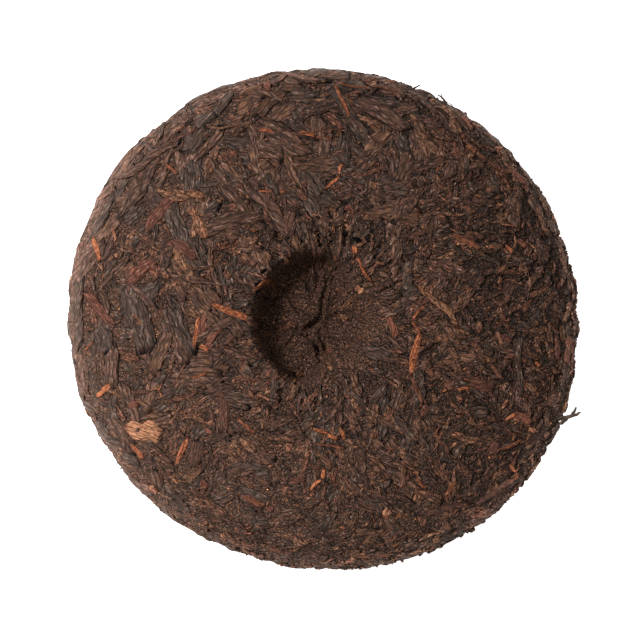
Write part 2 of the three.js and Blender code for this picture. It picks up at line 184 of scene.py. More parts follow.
@dataclass(frozen=True)
class CakeForm:
    """The skin of the cake, the same form as the CAD solid's, with finer creases."""

    radius: float = 98.0
    height: float = 26.0
    equator: float = 11.5
    rest_radius: float = 46.0
    rest_height: float = 5.0
    top_fullness: float = 4.0
    dome_fullness: float = 3.0
    dome_rounding: float = 0.6
    hollow_x: float = -1.0
    hollow_y: float = -1.2
    hollow_depth: float = 14.0
    gentle_wall: Wall = Wall(16.0, 4.0, 1.0)
    steep_wall: Wall = Wall(27.2, 20.0, 6.0)
    steep_shares: tuple[float, float] = (0.15, 0.6)
    gentle_bearing: float = -13.0
    pit_x: float = -4.2
    pit_y: float = -2.2
    pit_bearing: float = 40.0
    pit_length: float = 4.5
    pit_width: float = 2.4
    pit_depth: float = 2.4
    gather_reach: tuple[float, float, float, float] = (5.0, 15.0, 30.0, 64.0)
    gather_bearing: float = 80.0
    gather_unevenness: float = 0.4
    fold_lip: float = 0.35
    # Painted light is strongest towards this bearing, and painted glare lies on the rim between these
    # shares of the radius.
    lit_bearing: float = 218.0
    lit_rim_shares: tuple[float, float] = (0.92, 0.99)
    lobes: tuple[Lobe, ...] = (
        Lobe(2, 1.6, 149.0),
        Lobe(3, 0.35, 74.0),
        Lobe(4, 0.25, 38.0),
        Lobe(13, 0.2, 5.0),
        Lobe(23, 0.15, 11.0),
    )
    gathers: tuple[Gather, ...] = (
        Gather(13, 1.1, 0.5, 0.3),
        Gather(19, 0.7, -0.4, 1.7),
        Gather(31, 0.35, 0.7, 0.9),
    )
    swells: tuple[Swell, ...] = (
        Swell(0.4, 61.0, 83.0, 0.6),
        Swell(0.3, -37.0, 43.0, 2.1),
        Swell(0.25, 19.0, 27.0, 4.0),
    )

    def outline(self, bearing: Array) -> Array:
        """Work out the cake's radius: a circle plus the sum of the lobes' cosines.

        Args:
            bearing: Bearings in radians.

        Returns:
            The radius at each bearing.
        """
        total = np.full_like(bearing, self.radius)
        for lobe in self.lobes:
            total = total + lobe.size * np.cos(lobe.count * (bearing - math.radians(lobe.bearing)))
        return total

    @cached_property
    def section(self) -> tuple[Array, Array, Array, float]:
        """Walk the undented section from the middle of the top to the middle underneath.

        The top is equator + rise * sqrt(1 - share^4), and the underside is flat and then
        equator * (1 - (1 - out^3)^0.6), where out runs from the rest spot to the rim.

        Returns:
            The way along the skin, the share of the radius and the height at each step, and the
            way along to the widest ring.
        """
        quarter = np.linspace(0.0, np.pi / 2, 600)
        share = np.sin(quarter)
        rise = self.height - self.equator
        top = self.equator + rise * np.sqrt(np.maximum(0.0, 1.0 - share**self.top_fullness))
        rest = self.rest_radius / self.radius
        out = np.maximum(0.0, (share - rest) / (1.0 - rest))
        level = np.maximum(0.0, 1.0 - out**self.dome_fullness) ** self.dome_rounding
        under = self.equator * (1.0 - level)
        shares = np.concatenate([share, share[-2::-1]])
        heights = np.concatenate([top, under[-2::-1]])
        steps = np.hypot(np.diff(shares) * self.radius, np.diff(heights))
        along = np.concatenate([[0.0], np.cumsum(steps)])
        return along, shares, heights, float(along[len(share) - 1])

    @property
    def whole_way(self) -> float:
        """The way along the skin from the middle of the top to the middle underneath."""
        return float(self.section[0][-1])

    @property
    def rim_way(self) -> float:
        """The way along the skin from the middle of the top to the widest ring."""
        return self.section[3]

    def hollow(self, x: Array, y: Array) -> Array:
        """Work out the knot's hollow: depth / (1 + (distance / reach)^steepness)^lip, and a pit.

        The three numbers of the wall turn from the gentle wall's to the steep wall's round it.

        Args:
            x: Places along X.
            y: Places along Y.

        Returns:
            How far the face is pushed down.
        """
        dx = x - self.hollow_x
        dy = y - self.hollow_y
        away = np.hypot(dx, dy)
        turned = np.arctan2(dy, dx) - math.radians(self.gentle_bearing)
        share = smoothstep(0.5 - 0.5 * np.cos(turned), *self.steep_shares)
        gentle, steep = self.gentle_wall, self.steep_wall
        reach = gentle.reach + (steep.reach - gentle.reach) * share
        steepness = gentle.steepness + (steep.steepness - gentle.steepness) * share
        lip = gentle.lip + (steep.lip - gentle.lip) * share
        far = np.minimum((away / reach) ** steepness, 1e9)
        bowl = self.hollow_depth / (1.0 + far) ** lip
        turn = math.radians(self.pit_bearing)
        along = (x - self.pit_x) * math.cos(turn) + (y - self.pit_y) * math.sin(turn)
        across = (y - self.pit_y) * math.cos(turn) - (x - self.pit_x) * math.sin(turn)
        spread = (along / self.pit_length) ** 2 + (across / self.pit_width) ** 2
        return bowl + self.pit_depth * np.exp(-spread)

    def creases(self, x: Array, y: Array) -> Array:
        """Work out the cloth's creases: each family is depth * (1 - |cos|)^2 round the hollow.

        Args:
            x: Places along X.
            y: Places along Y.

        Returns:
            How far the face is pushed down.
        """
        dx = x - self.hollow_x
        dy = y - self.hollow_y
        away = np.hypot(dx, dy)
        bearing = np.arctan2(dy, dx)
        start, full, fade, end = self.gather_reach
        window = smoothstep(away, start, full) * (1.0 - smoothstep(away, fade, end))
        lean = np.cos(bearing - math.radians(self.gather_bearing))
        strength = window * (1.0 - self.gather_unevenness + self.gather_unevenness * lean)
        depth = np.zeros_like(x)
        for gather in self.gathers:
            turned = bearing + gather.twist * away / fade
            fold = 1.0 - np.abs(np.cos((gather.count * turned + gather.phase) / 2.0))
            depth = depth + gather.depth * strength * fold**2
        return depth

    def folds(self, x: Array, y: Array) -> Array:
        """Work out the sharp folds: each is depth * exp(-q^2), with a lower lip on either side.

        Here q is the distance from the fold's arc over its width, and the arc is the straight
        line between its ends, pushed aside by bow * 4s(1 - s). The fold runs out at both ends.

        Args:
            x: Places along X.
            y: Places along Y.

        Returns:
            How far the face is pushed down.
        """
        depth = np.zeros_like(x)
        for fold in FOLDS:
            run_x, run_y = fold.x_end - fold.x_start, fold.y_end - fold.y_start
            length = math.hypot(run_x, run_y)
            dx, dy = x - fold.x_start, y - fold.y_start
            share = np.clip((dx * run_x + dy * run_y) / length**2, 0.0, 1.0)
            aside = (dy * run_x - dx * run_y) / length
            arc = 4.0 * share * (1.0 - share)
            q = np.abs(aside - fold.bow * arc) / fold.width
            groove = np.exp(-(q**2)) - self.fold_lip * np.exp(-((q - 2.0) ** 2))
            depth = depth + fold.depth * np.sqrt(arc) * groove
        return depth

    def swell(self, x: Array, y: Array) -> Array:
        """Work out the slow swells of the face, a sum of plane sine waves.

        Args:
            x: Places along X.
            y: Places along Y.

        Returns:
            The height of the swells.
        """
        total = np.zeros_like(x)
        for wave in self.swells:
            turn = x / wave.length_x + y / wave.length_y
            total = total + wave.height * np.sin(2.0 * np.pi * turn + wave.phase)
        return total

    def skin(self, bearing: Array, along: Array) -> Array:
        """Find points of the skin from their bearing and their way along the section.

        Args:
            bearing: Bearings in radians.
            along: The way along the skin from the middle of the top.

        Returns:
            Points, with X, Y and Z last.
        """
        ways, shares, heights, rim = self.section
        share = np.interp(along, ways, shares)
        height = np.interp(along, ways, heights)
        radius = share * self.outline(bearing)
        x = radius * np.cos(bearing)
        y = radius * np.sin(bearing)
        is_top = along <= rim
        rest = self.rest_radius / self.radius
        edge = 1.0 - smoothstep(share, 0.85, 1.0)
        free = smoothstep(share, rest, 1.0) * (1.0 - smoothstep(share, 0.9, 1.0))
        waves = self.swell(x, y) * np.where(is_top, edge, free)
        dents = self.hollow(x, y) + self.creases(x, y) + self.folds(x, y)
        dents = np.where(is_top, dents, 0.0)
        return np.stack([x, y, np.maximum(0.0, height + waves - dents)], axis=-1)

    def painted_light_share(self, points: Array) -> Array:
        """Work out the painted light on the skin, from 0 in the hollow to 1 on the left rim.

        It is a small share everywhere, plus one that grows as the square of the way towards the lit
        side, plus painted glare on the rim that is least at its front and back, less painted shade in
        the hollow.

        Args:
            points: Points of the skin, with X, Y and Z last.

        Returns:
            A share from 0 to 1 at each point.
        """
        x, y, z = points[..., 0], points[..., 1], points[..., 2]
        rim = smoothstep(np.hypot(x, y) / self.radius, *self.lit_rim_shares)
        low = np.where(z > self.rest_height, smoothstep(self.hollow(x, y), 1.0, 9.0), 0.0)
        lit_turn = math.radians(self.lit_bearing)
        side = 0.5 + 0.44 * (x * math.cos(lit_turn) + y * math.sin(lit_turn)) / self.radius
        left = 0.5 - 0.5 * x / self.radius
        edge = 0.34 + 0.34 * left + 0.47 * (1.0 - left) ** 2
        return np.clip(0.12 + 0.34 * side**2 + edge * rim - 0.2 * low, 0.0, 1.0)

    def chart_point(self, u: Array, v: Array, side: Side) -> Array:
        """Find the skin's points for points of a face's flat chart.

        The distance from the chart's middle is the way along the skin from the middle of that
        face. The underside's chart is mirrored, so that both charts turn the same way seen from
        outside.

        Args:
            u: First chart coordinate.
            v: Second chart coordinate.
            side: The face.

        Returns:
            Points, with X, Y and Z last.
        """
        away = np.hypot(u, v)
        bearing = np.arctan2(v, u)
        if side is Side.TOP:
            return self.skin(bearing, away)
        return self.skin(-bearing, self.whole_way - away)

    def chart_frame(self, u: Array, v: Array, side: Side) -> tuple[Array, Array]:
        """Find the skin's points and outward directions, from short steps on the chart.

        Args:
            u: First chart coordinate.
            v: Second chart coordinate.
            side: The face.

        Returns:
            Points and unit normals, with X, Y and Z last.
        """
        step = 0.5
        east = self.chart_point(u + step, v, side) - self.chart_point(u - step, v, side)
        north = self.chart_point(u, v + step, side) - self.chart_point(u, v - step, side)
        normal = np.cross(east, north)
        normal /= np.linalg.norm(normal, axis=-1, keepdims=True) + 1e-12
        return self.chart_point(u, v, side), normal


@dataclass
class ReliefMap:
    """The running height of the laid pieces over one face's chart, on a square grid."""

    reach: float
    step: float = 0.5
    heights: Array = field(init=False)

    def __post_init__(self) -> None:
        """Start from a bare chart."""
        size = 2 * int(self.reach / self.step) + 1
        self.heights = np.zeros((size, size))

    def cells(self, u: Array, v: Array) -> tuple[Array, Array]:
        """Turn chart coordinates into grid coordinates, kept inside the grid.

        Args:
            u: First chart coordinate.
            v: Second chart coordinate.

        Returns:
            Row and column, not rounded.
        """
        middle = (self.heights.shape[0] - 1) / 2.0
        limit = self.heights.shape[0] - 1.001
        row = np.clip(u / self.step + middle, 0.0, limit)
        column = np.clip(v / self.step + middle, 0.0, limit)
        return row, column

    def sample(self, grid: Array, u: Array, v: Array) -> Array:
        """Read a grid between its cells, by the weighted mean of the four round each point.

        Args:
            grid: The grid to read.
            u: First chart coordinate.
            v: Second chart coordinate.

        Returns:
            The value at each point.
        """
        row, column = self.cells(u, v)
        i = row.astype(int)
        j = column.astype(int)
        p = row - i
        q = column - j
        near = grid[i, j] * (1 - p) * (1 - q) + grid[i + 1, j] * p * (1 - q)
        return near + grid[i, j + 1] * (1 - p) * q + grid[i + 1, j + 1] * p * q

    def raise_to(self, u: Array, v: Array, height: Array) -> None:
        """Lift each cell under the points to the highest of them.

        Args:
            u: First chart coordinate.
            v: Second chart coordinate.
            height: Height of each point.
        """
        row, column = self.cells(u, v)
        place = (np.rint(row).astype(int), np.rint(column).astype(int))
        np.maximum.at(self.heights, place, height)

    def blurred(self, grid: Array, width: float) -> Array:
        """Smooth a grid by three passes of a square running mean.

        Args:
            grid: The grid to smooth.
            width: Width of the running mean in millimetres.

        Returns:
            The smoothed grid.
        """
        half = max(1, int(width / self.step / 2))
        span = 2 * half + 1
        smooth = grid
        for _ in range(3):
            for axis in (0, 1):
                pad = [(0, 0), (0, 0)]
                pad[axis] = (half + 1, half)
                total = np.cumsum(np.pad(smooth, pad, mode="edge"), axis=axis)
                ahead = np.take(total, np.arange(span, total.shape[axis]), axis=axis)
                behind = np.take(total, np.arange(0, total.shape[axis] - span), axis=axis)
                smooth = (ahead - behind) / span
        return smooth


@dataclass(frozen=True)
class PieceStyle:
    """Sizes and habits of one kind of piece, in millimetres and shares."""

    kind: Kind
    count_top: int
    count_under: int
    length: tuple[float, float]
    short_bias: float
    width: tuple[float, float]
    thickness: tuple[float, float]
    stations: int
    across: tuple[float, ...]
    tip: tuple[float, float]
    tear: float
    bow: float
    ridge: float
    roundness: float
    depth: tuple[float, float]
    samples: tuple[int, int]
    whole_side: float
    bevel: float


SHOULDER = 0.8
LEAF_SECTION = (-1.0, -SHOULDER, -0.3, 0.3, SHOULDER, 1.0)
CHIP_SECTION = (-1.0, -SHOULDER, SHOULDER, 1.0)

STYLES: tuple[PieceStyle, ...] = (
    PieceStyle(
        Kind.DARK_LEAF, 1150, 820, (7.0, 26.0), 1.4, (2.2, 8.0), (0.16, 0.34), 8, LEAF_SECTION,
        (0.1, 0.75), 0.18, 0.07, 0.2, 0.0, (0.0, 0.9), (52, 16), 0.3, 0.55,
    ),
    PieceStyle(
        Kind.BROWN_LEAF, 1250, 820, (4.0, 18.0), 1.5, (1.2, 4.8), (0.16, 0.36), 8, LEAF_SECTION,
        (0.1, 0.75), 0.2, 0.1, 0.35, 0.0, (0.05, 1.0), (38, 11), -0.1, 0.48,
    ),
    PieceStyle(
        Kind.RUSSET_LEAF, 170, 120, (3.5, 13.0), 1.6, (1.0, 3.6), (0.18, 0.34), 8, LEAF_SECTION,
        (0.15, 0.8), 0.22, 0.1, 0.35, 0.0, (0.15, 1.0), (30, 8), 0.0, 0.3,
    ),
    PieceStyle(
        Kind.FRAGMENT, 4150, 1650, (1.1, 5.0), 1.5, (0.5, 1.8), (0.16, 0.34), 5, CHIP_SECTION,
        (0.3, 0.9), 0.25, 0.1, 0.3, 0.0, (0.15, 1.0), (12, 5), -0.4, 0.45,
    ),
    PieceStyle(
        Kind.STEM, 190, 110, (2.5, 11.0), 2.2, (0.35, 1.1), (0.2, 0.4), 8, LEAF_SECTION,
        (0.4, 0.8), 0.2, 0.08, 0.25, 0.6, (0.35, 1.0), (30, 4), 0.0, 0.18,
    ),
    PieceStyle(
        Kind.CRUMB, 4200, 2000, (0.6, 2.2), 1.3, (0.4, 1.1), (0.22, 0.44), 3, CHIP_SECTION,
        (0.3, 0.8), 0.25, 0.05, 0.2, 0.6, (0.3, 1.0), (6, 4), -0.4, 0.35,
    ),
)


@dataclass
class Batch:
    """Pieces of one kind, as arrays with one entry for each piece."""

    style: PieceStyle
    u: Array
    v: Array
    heading: Array
    length: Array
    width: Array
    thickness: Array
    tip_start: Array
    tip_end: Array
    bow: Array
    cup: Array
    lift: Array
    crag: Array
    tear: Array
    tone: Array
    rank: Array

    @property
    def count(self) -> int:
        """How many pieces there are."""
        return len(self.u)

    def pick(self, chosen: NDArray[np.bool_]) -> Batch:
        """Take some of the pieces.

        Args:
            chosen: Which pieces to take.

        Returns:
            A batch of the chosen pieces.
        """
        names = [name for name in self.__dataclass_fields__ if name != "style"]
        arrays = {name: getattr(self, name)[chosen] for name in names}
        return Batch(style=self.style, **arrays)


@dataclass
class LaidPieces:
    """The surfaces of laid pieces of one kind, ready to be pressed and meshed."""

    style: PieceStyle
    u: Array
    v: Array
    height: Array
    grain: Array
    edge: Array
    tone: Array


@dataclass(frozen=True)
class Marked:
    """A piece that stands out in the face: kind, middle, heading, length, width, tone and bow."""

    kind: Kind
    x: float
    y: float
    heading: float
    length: float
    width: float
    tone: float
    bow: float


MARKED: tuple[Marked, ...] = (
    Marked(Kind.STEM, 7.2, 84.3, -69, 15.7, 1.5, 0.86, 0),
    Marked(Kind.STEM, 11.9, 90.6, -7, 15.1, 1.5, 0.7, -0.02),
    Marked(Kind.STEM, 25.4, 89.5, -5, 13.6, 1.5, 0.62, 0.03),
    Marked(Kind.STEM, -35.3, 1.4, -23, 16.9, 2.7, 0.93, 0),
    Marked(Kind.STEM, -48.4, -6.3, 80, 12.3, 1.9, 0.9, 0),
    Marked(Kind.STEM, -23.4, 11.5, 35, 9.3, 1.5, 0.82, 0.03),
    Marked(Kind.STEM, -86.4, 25.9, -70, 10.9, 2.3, 0.93, 0),
    Marked(Kind.RUSSET_LEAF, -61.9, 38.6, 51, 18.1, 5.0, 0.55, 0.04),
    Marked(Kind.STEM, -57.9, 56.1, -39, 7.0, 1.5, 0.8, 0),
    Marked(Kind.STEM, -71.2, 52.9, -73, 13.0, 1.5, 0.2, 0),
    Marked(Kind.BROWN_LEAF, -47.2, 35.1, -68, 13.6, 3.9, 0.95, 0),
    Marked(Kind.RUSSET_LEAF, -53.6, 24.6, -23, 13.7, 4.6, 0.45, 0.1),
    Marked(Kind.RUSSET_LEAF, -69.3, 16.5, 34, 14.2, 6.5, 0.62, 0.05),
    Marked(Kind.RUSSET_LEAF, -86.2, 2.8, -47, 19.2, 3.5, 0.6, 0.02),
    Marked(Kind.STEM, -89.9, -5.0, 10, 5.6, 1.5, 0.55, 0),
    Marked(Kind.STEM, -46.8, 18.0, 8, 10.4, 1.5, 0.5, 0),
    Marked(Kind.BROWN_LEAF, -54.4, 46.5, -10, 19.5, 4.6, 0.9, -0.05),
    Marked(Kind.STEM, -22.2, 71.5, -8, 5.8, 1.5, 0.9, 0),
    Marked(Kind.STEM, -6.4, 70.1, -10, 7.0, 1.9, 0.88, 0.1),
    Marked(Kind.STEM, 0.3, 69.1, -7, 6.5, 1.5, 0.7, -0.08),
    Marked(Kind.STEM, -0.4, 71.8, 8, 17.3, 1.0, 0.6, 0),
    Marked(Kind.RUSSET_LEAF, -12.6, 35.0, 84, 10.4, 4.2, 0.25, 0.05),
    Marked(Kind.STEM, 19.0, 69.2, -26, 12.3, 1.5, 0.35, 0),
    Marked(Kind.STEM, 16.9, 60.6, 37, 19.3, 1.2, 0.3, 0),
    Marked(Kind.STEM, 6.8, 56.7, 76, 4.8, 1.3, 0.93, 0.15),
    Marked(Kind.STEM, 3.4, 51.5, 45, 8.1, 1.3, 0.93, 0),
    Marked(Kind.RUSSET_LEAF, 51.8, 64.9, -80, 8.0, 2.3, 0.62, 0.05),
    Marked(Kind.STEM, 59.5, 63.9, -36, 10.4, 2.3, 0.72, 0.08),
    Marked(Kind.STEM, 69.2, 58.9, -19, 11.6, 1.9, 0.66, -0.1),
    Marked(Kind.STEM, 54.7, 28.8, -26, 12.2, 2.3, 0.78, 0),
    Marked(Kind.STEM, 42.1, 31.6, 85, 13.5, 1.2, 0.35, 0.06),
    Marked(Kind.STEM, 11.9, 26.2, -80, 4.3, 1.9, 0.97, 0),
    Marked(Kind.STEM, 15.7, 18.0, -59, 11.6, 1.5, 0.85, -0.04),
    Marked(Kind.RUSSET_LEAF, 13.8, 10.4, -53, 3.8, 2.7, 0.97, 0),
    Marked(Kind.BROWN_LEAF, 43.7, 3.4, -47, 22.3, 3.1, 0.97, 0.04),
    Marked(Kind.RUSSET_LEAF, 26.3, -4.3, -76, 9.0, 3.1, 0.78, 0),
    Marked(Kind.STEM, 36.3, 0.7, 49, 7.5, 1.5, 0.86, 0.1),
    Marked(Kind.STEM, 35.3, -4.6, -59, 5.8, 1.5, 0.8, -0.05),
    Marked(Kind.STEM, 34.9, -14.7, 76, 16.4, 2.7, 0.93, 0.06),
    Marked(Kind.STEM, 34.9, -27.9, -67, 11.5, 1.9, 0.7, 0),
    Marked(Kind.STEM, 71.9, 26.1, -52, 4.3, 1.5, 0.97, 0),
    Marked(Kind.STEM, 81.3, -18.3, -63, 2.5, 1.5, 0.97, 0),
    Marked(Kind.STEM, 71.0, -57.1, -44, 3.8, 1.5, 1, 0),
    Marked(Kind.STEM, 72.6, -60.0, 70, 3.2, 1.9, 0.9, 0),
    Marked(Kind.RUSSET_LEAF, 89.1, -11.8, -83, 10.3, 2.3, 0.55, 0),
    Marked(Kind.RUSSET_LEAF, 93.7, -12.3, -86, 11.4, 3.9, 0.72, 0.02),
    Marked(Kind.DARK_LEAF, 74.5, -18.7, 88, 20.5, 3.1, 0.35, 0.03),
    Marked(Kind.RUSSET_LEAF, -69.6, -45.0, -16, 15.0, 8.2, 1, 0.08),
    Marked(Kind.STEM, -71.9, -52.2, -49, 7.6, 1.9, 0.9, 0),
    Marked(Kind.STEM, -54.8, -52.4, 66, 11.5, 2.3, 0.9, 0),
    Marked(Kind.STEM, -84.0, -28.5, 35, 7.7, 2.3, 0.985, 0),
    Marked(Kind.STEM, -30.1, -43.2, -47, 8.8, 1.9, 0.78, 0),
    Marked(Kind.RUSSET_LEAF, -39.8, -35.9, -84, 18.2, 3.5, 0.35, 0.08),
    Marked(Kind.RUSSET_LEAF, -49.3, -53.4, 83, 10.2, 6.2, 0.15, 0),
    Marked(Kind.STEM, -0.1, -61.5, 84, 3.8, 1.9, 0.99, 0),
    Marked(Kind.STEM, -2.9, -65.9, 42, 6.1, 1.5, 0.97, 0.1),
    Marked(Kind.STEM, -1.4, -44.9, -14, 6.2, 1.5, 0.93, 0),
    Marked(Kind.STEM, 3.5, -46.5, -22, 4.1, 1.9, 0.95, -0.1),
    Marked(Kind.STEM, 7.1, -45.1, -69, 5.3, 1.5, 0.96, 0),
    Marked(Kind.STEM, 2.2, -50.4, -5, 12.5, 1.0, 0.75, 0),
    Marked(Kind.RUSSET_LEAF, -46.5, -65.5, -56, 4.1, 2.7, 0.66, 0),
    Marked(Kind.RUSSET_LEAF, -21.1, -75.1, -27, 3.4, 2.3, 0.7, 0),
    Marked(Kind.STEM, -27.5, -72.1, -29, 9.5, 2.7, 0.75, 0),
    Marked(Kind.STEM, -23.7, -64.4, -27, 7.6, 1.9, 0.55, 0),
    Marked(Kind.RUSSET_LEAF, -65.9, -67.0, -37, 4.4, 2.7, 0.9, 0),
    Marked(Kind.RUSSET_LEAF, 46.0, -73.4, 14, 19.6, 2.7, 0.3, 0.04),
    Marked(Kind.RUSSET_LEAF, 64.3, -66.4, 27, 19.9, 2.7, 0.45, 0.03),
    Marked(Kind.DARK_LEAF, 30.0, -61.3, 85, 8.0, 2.7, 1, 0),
    Marked(Kind.RUSSET_LEAF, 63.6, -49.6, 55, 6.0, 3.5, 0.5, 0),
    Marked(Kind.RUSSET_LEAF, 74.1, -39.2, -24, 9.3, 3.9, 0.82, 0.1),
    Marked(Kind.STEM, 70.1, -38.2, 32, 5.0, 1.5, 0.95, 0),
    Marked(Kind.RUSSET_LEAF, 59.2, -26.2, -16, 9.5, 4.6, 0.4, 0),
    Marked(Kind.STEM, 52.5, -27.9, 10, 4.2, 1.5, 0.9, 0.1),
    Marked(Kind.STEM, 37.0, -63.2, -45, 5.9, 1.2, 0.85, -0.1),
    Marked(Kind.STEM, 47.6, -64.7, 54, 7.0, 1.5, 0.85, 0),
    Marked(Kind.RUSSET_LEAF, 57.3, -74.4, 0, 5.0, 1.9, 0.8, 0),
    Marked(Kind.STEM, 6.0, -86.3, -3, 8.0, 1.2, 0.5, 0),
    Marked(Kind.STEM, 7.1, -81.7, -8, 2.7, 1.5, 0.85, 0),
    Marked(Kind.DARK_LEAF, -45.6, 75.4, 44, 9.0, 6.9, 0.25, 0.1),
    Marked(Kind.DARK_LEAF, -47.5, 66.9, 62, 12.0, 5.4, 0.3, 0.05),
    Marked(Kind.RUSSET_LEAF, -22.0, 89.9, -64, 6.3, 3.1, 0.6, 0),
    Marked(Kind.DARK_LEAF, -28.3, 87.5, 30, 10.6, 3.1, 0.95, 0.05),
    Marked(Kind.RUSSET_LEAF, 68.1, -33.3, 52, 4.3, 1.5, 0.9, 0),
    Marked(Kind.RUSSET_LEAF, 78.4, -42.7, -38, 3.0, 2.3, 0.97, 0),
    Marked(Kind.STEM, 69.9, -48.1, 20, 9.9, 1.5, 0.8, -0.1),
    Marked(Kind.STEM, -68.1, -23.5, 25, 13.5, 1.2, 0.3, 0.1),
    Marked(Kind.STEM, -47.6, -23.2, 17, 6.3, 1.2, 0.88, 0),
    Marked(Kind.RUSSET_LEAF, -73.1, -34.4, 13, 4.8, 3.1, 0.7, 0.1),
    Marked(Kind.STEM, -45.9, -12.8, -24, 3.7, 1.9, 0.95, 0.2),
)


@dataclass
class TeaLayer:
    """Everything that is laid on one face: draws the pieces, lays them and presses them."""

    form: CakeForm
    side: Side
    seed: int
    turns: int = 18
    press_width: float = 7.0
    proud: float = 0.3
    rim_proud: float = 1.1
    keep: float = 0.8
    hollow_thinning: float = 0.78
    patchiness: float = 0.9
    plain_tones: float = 0.93
    looseness: tuple[float, float] = (38.0, -16.0)
    bundle_heading: float = 50.0
    bundle_swing: float = 38.0
    bundle_lengths: tuple[float, float, float] = (14.0, 11.0, 23.0)
    crag: float = 0.4
    sunk: float = 0.1
    bridge_gap: float = 0.08
    shaken: float = 0.6
    rim_shares: tuple[float, float] = (0.72, 0.92)
    loose_shares: tuple[float, float] = (0.84, 0.98)
    outward_reach: tuple[float, float] = (22.0, 52.0)
    knot_reach: tuple[float, float] = (22.0, 30.0)
    small_reach: tuple[float, float] = (26.0, 50.0)
    smaller: float = 0.45
    whole_bearing: float = 140.0
    whole_reach: tuple[float, float] = (20.0, 70.0)
    longer: float = 0.34
    stiffness: float = 0.6
    crumple: float = 0.07
    rng: np.random.Generator = field(init=False)
    relief: ReliefMap = field(init=False)
    laid: dict[Kind, list[LaidPieces]] = field(init=False)

    def __post_init__(self) -> None:
        """Seed the draws and start a bare relief map."""
        self.rng = np.random.default_rng(self.seed)
        self.relief = ReliefMap(self.reach + 16.0)
        self.laid = {kind: [] for kind in Kind}

    @property
    def reach(self) -> float:
        """How far from the chart's middle the pieces' middles go."""
        seam = self.form.rim_way + 5.0
        return seam if self.side is Side.TOP else self.form.whole_way - seam

    def draw(self, style: PieceStyle) -> Batch:
        """Draw the pieces of one kind, spread by the sunflower rule and a little shaken.

        Pieces point outwards near the hollow, along the rim near the rim, and lie in bundles
        between. The large ones are longer and more often uppermost on the upper left of the face.
        Round the knot all are shorter, and many are left out, since it kneaded the tea to bits.

        Args:
            style: The kind's sizes and habits.

        Returns:
            The drawn pieces.
        """
        rng = self.rng
        count = style.count_top if self.side is Side.TOP else style.count_under
        index = np.arange(count)
        away = self.reach * np.sqrt((index + rng.random(count)) / count)
        bearing = index * np.pi * (3.0 - math.sqrt(5.0)) + rng.uniform(0, 2 * np.pi)
        spacing = self.reach / math.sqrt(count)
        u = away * np.cos(bearing) + rng.normal(0.0, self.shaken * spacing, count)
        v = away * np.sin(bearing) + rng.normal(0.0, self.shaken * spacing, count)
        away = np.hypot(u, v)
        bearing = np.arctan2(v, u)
        rim = smoothstep(away / self.form.rim_way, *self.rim_shares)
        has_knot = 1.0 if self.side is Side.TOP else 0.0
        near = has_knot * (1.0 - smoothstep(away, *self.outward_reach))
        base = np.where(rim > 0.4, bearing + np.pi / 2, self.bundling(u, v))
        base = np.where(near > 0.4, bearing, base)
        spread = self.looseness[0] + self.looseness[1] * np.maximum(rim, near)
        heading = base + np.radians(spread) * rng.normal(0.0, 1.0, count)
        lean = has_knot * np.cos(bearing - math.radians(self.whole_bearing))
        lean = lean * smoothstep(away, *self.whole_reach)
        from_knot = np.hypot(u - self.form.hollow_x, v - self.form.hollow_y)
        knot = 1.0 - smoothstep(from_knot, *self.knot_reach)
        close = has_knot * (1.0 - smoothstep(from_knot, *self.small_reach))
        scale = 1.0 + self.longer * lean - self.smaller * close
        low, high = style.length
        length = (low + (high - low) * rng.random(count) ** style.short_bias) * scale
        low, high = style.width
        width = (low + (high - low) * rng.random(count) ** 1.2) * np.sqrt(scale)
        width = np.minimum(width, 0.75 * length)
        batch = Batch(
            style=style,
            u=u,
            v=v,
            heading=heading,
            length=length,
            width=width,
            thickness=rng.uniform(*style.thickness, count),
            tip_start=rng.uniform(*style.tip, count),
            tip_end=rng.uniform(*style.tip, count),
            bow=rng.normal(0.0, style.bow, count),
            cup=rng.uniform(-0.16, 0.2, count),
            lift=rng.exponential(0.05 + 0.15 * rim) * rng.choice((-1.0, 1.0), count),
            crag=rng.exponential(self.crag, count) * rim,
            tear=np.full(count, style.tear),
            tone=self.plain_tones * rng.random(count),
            rank=np.clip(rng.uniform(*style.depth, count) + style.whole_side * lean, 0.0, 0.999),
        )
        if self.side is Side.UNDER:
            return batch
        patchy = self.patchiness * style.whole_side * self.bundling(1.3 * v, -1.3 * u) / 2.0
        kneaded = (self.hollow_thinning + 0.6 * style.whole_side) * knot
        thinned = np.maximum(kneaded, -1.4 * style.whole_side * lean)
        thinned = thinned + np.where(near + rim > 0.5, 0.0, patchy)
        return batch.pick(rng.random(count) >= thinned)

    def bundling(self, u: Array, v: Array) -> Array:
        """Work out which way the pieces lie: they are pressed in bundles, so it turns slowly.

        The heading is a mean one plus swing * (sin(u / a) + sin(v / b) + sin((u + v) / c)).

        Args:
            u: First chart coordinate.
            v: Second chart coordinate.

        Returns:
            The heading in radians.
        """
        first, second, third = self.bundle_lengths
        waves = np.sin(u / first) + np.sin(v / second + 1.0) + np.sin((u + v) / third + 2.5)
        return math.radians(self.bundle_heading) + math.radians(self.bundle_swing) * waves

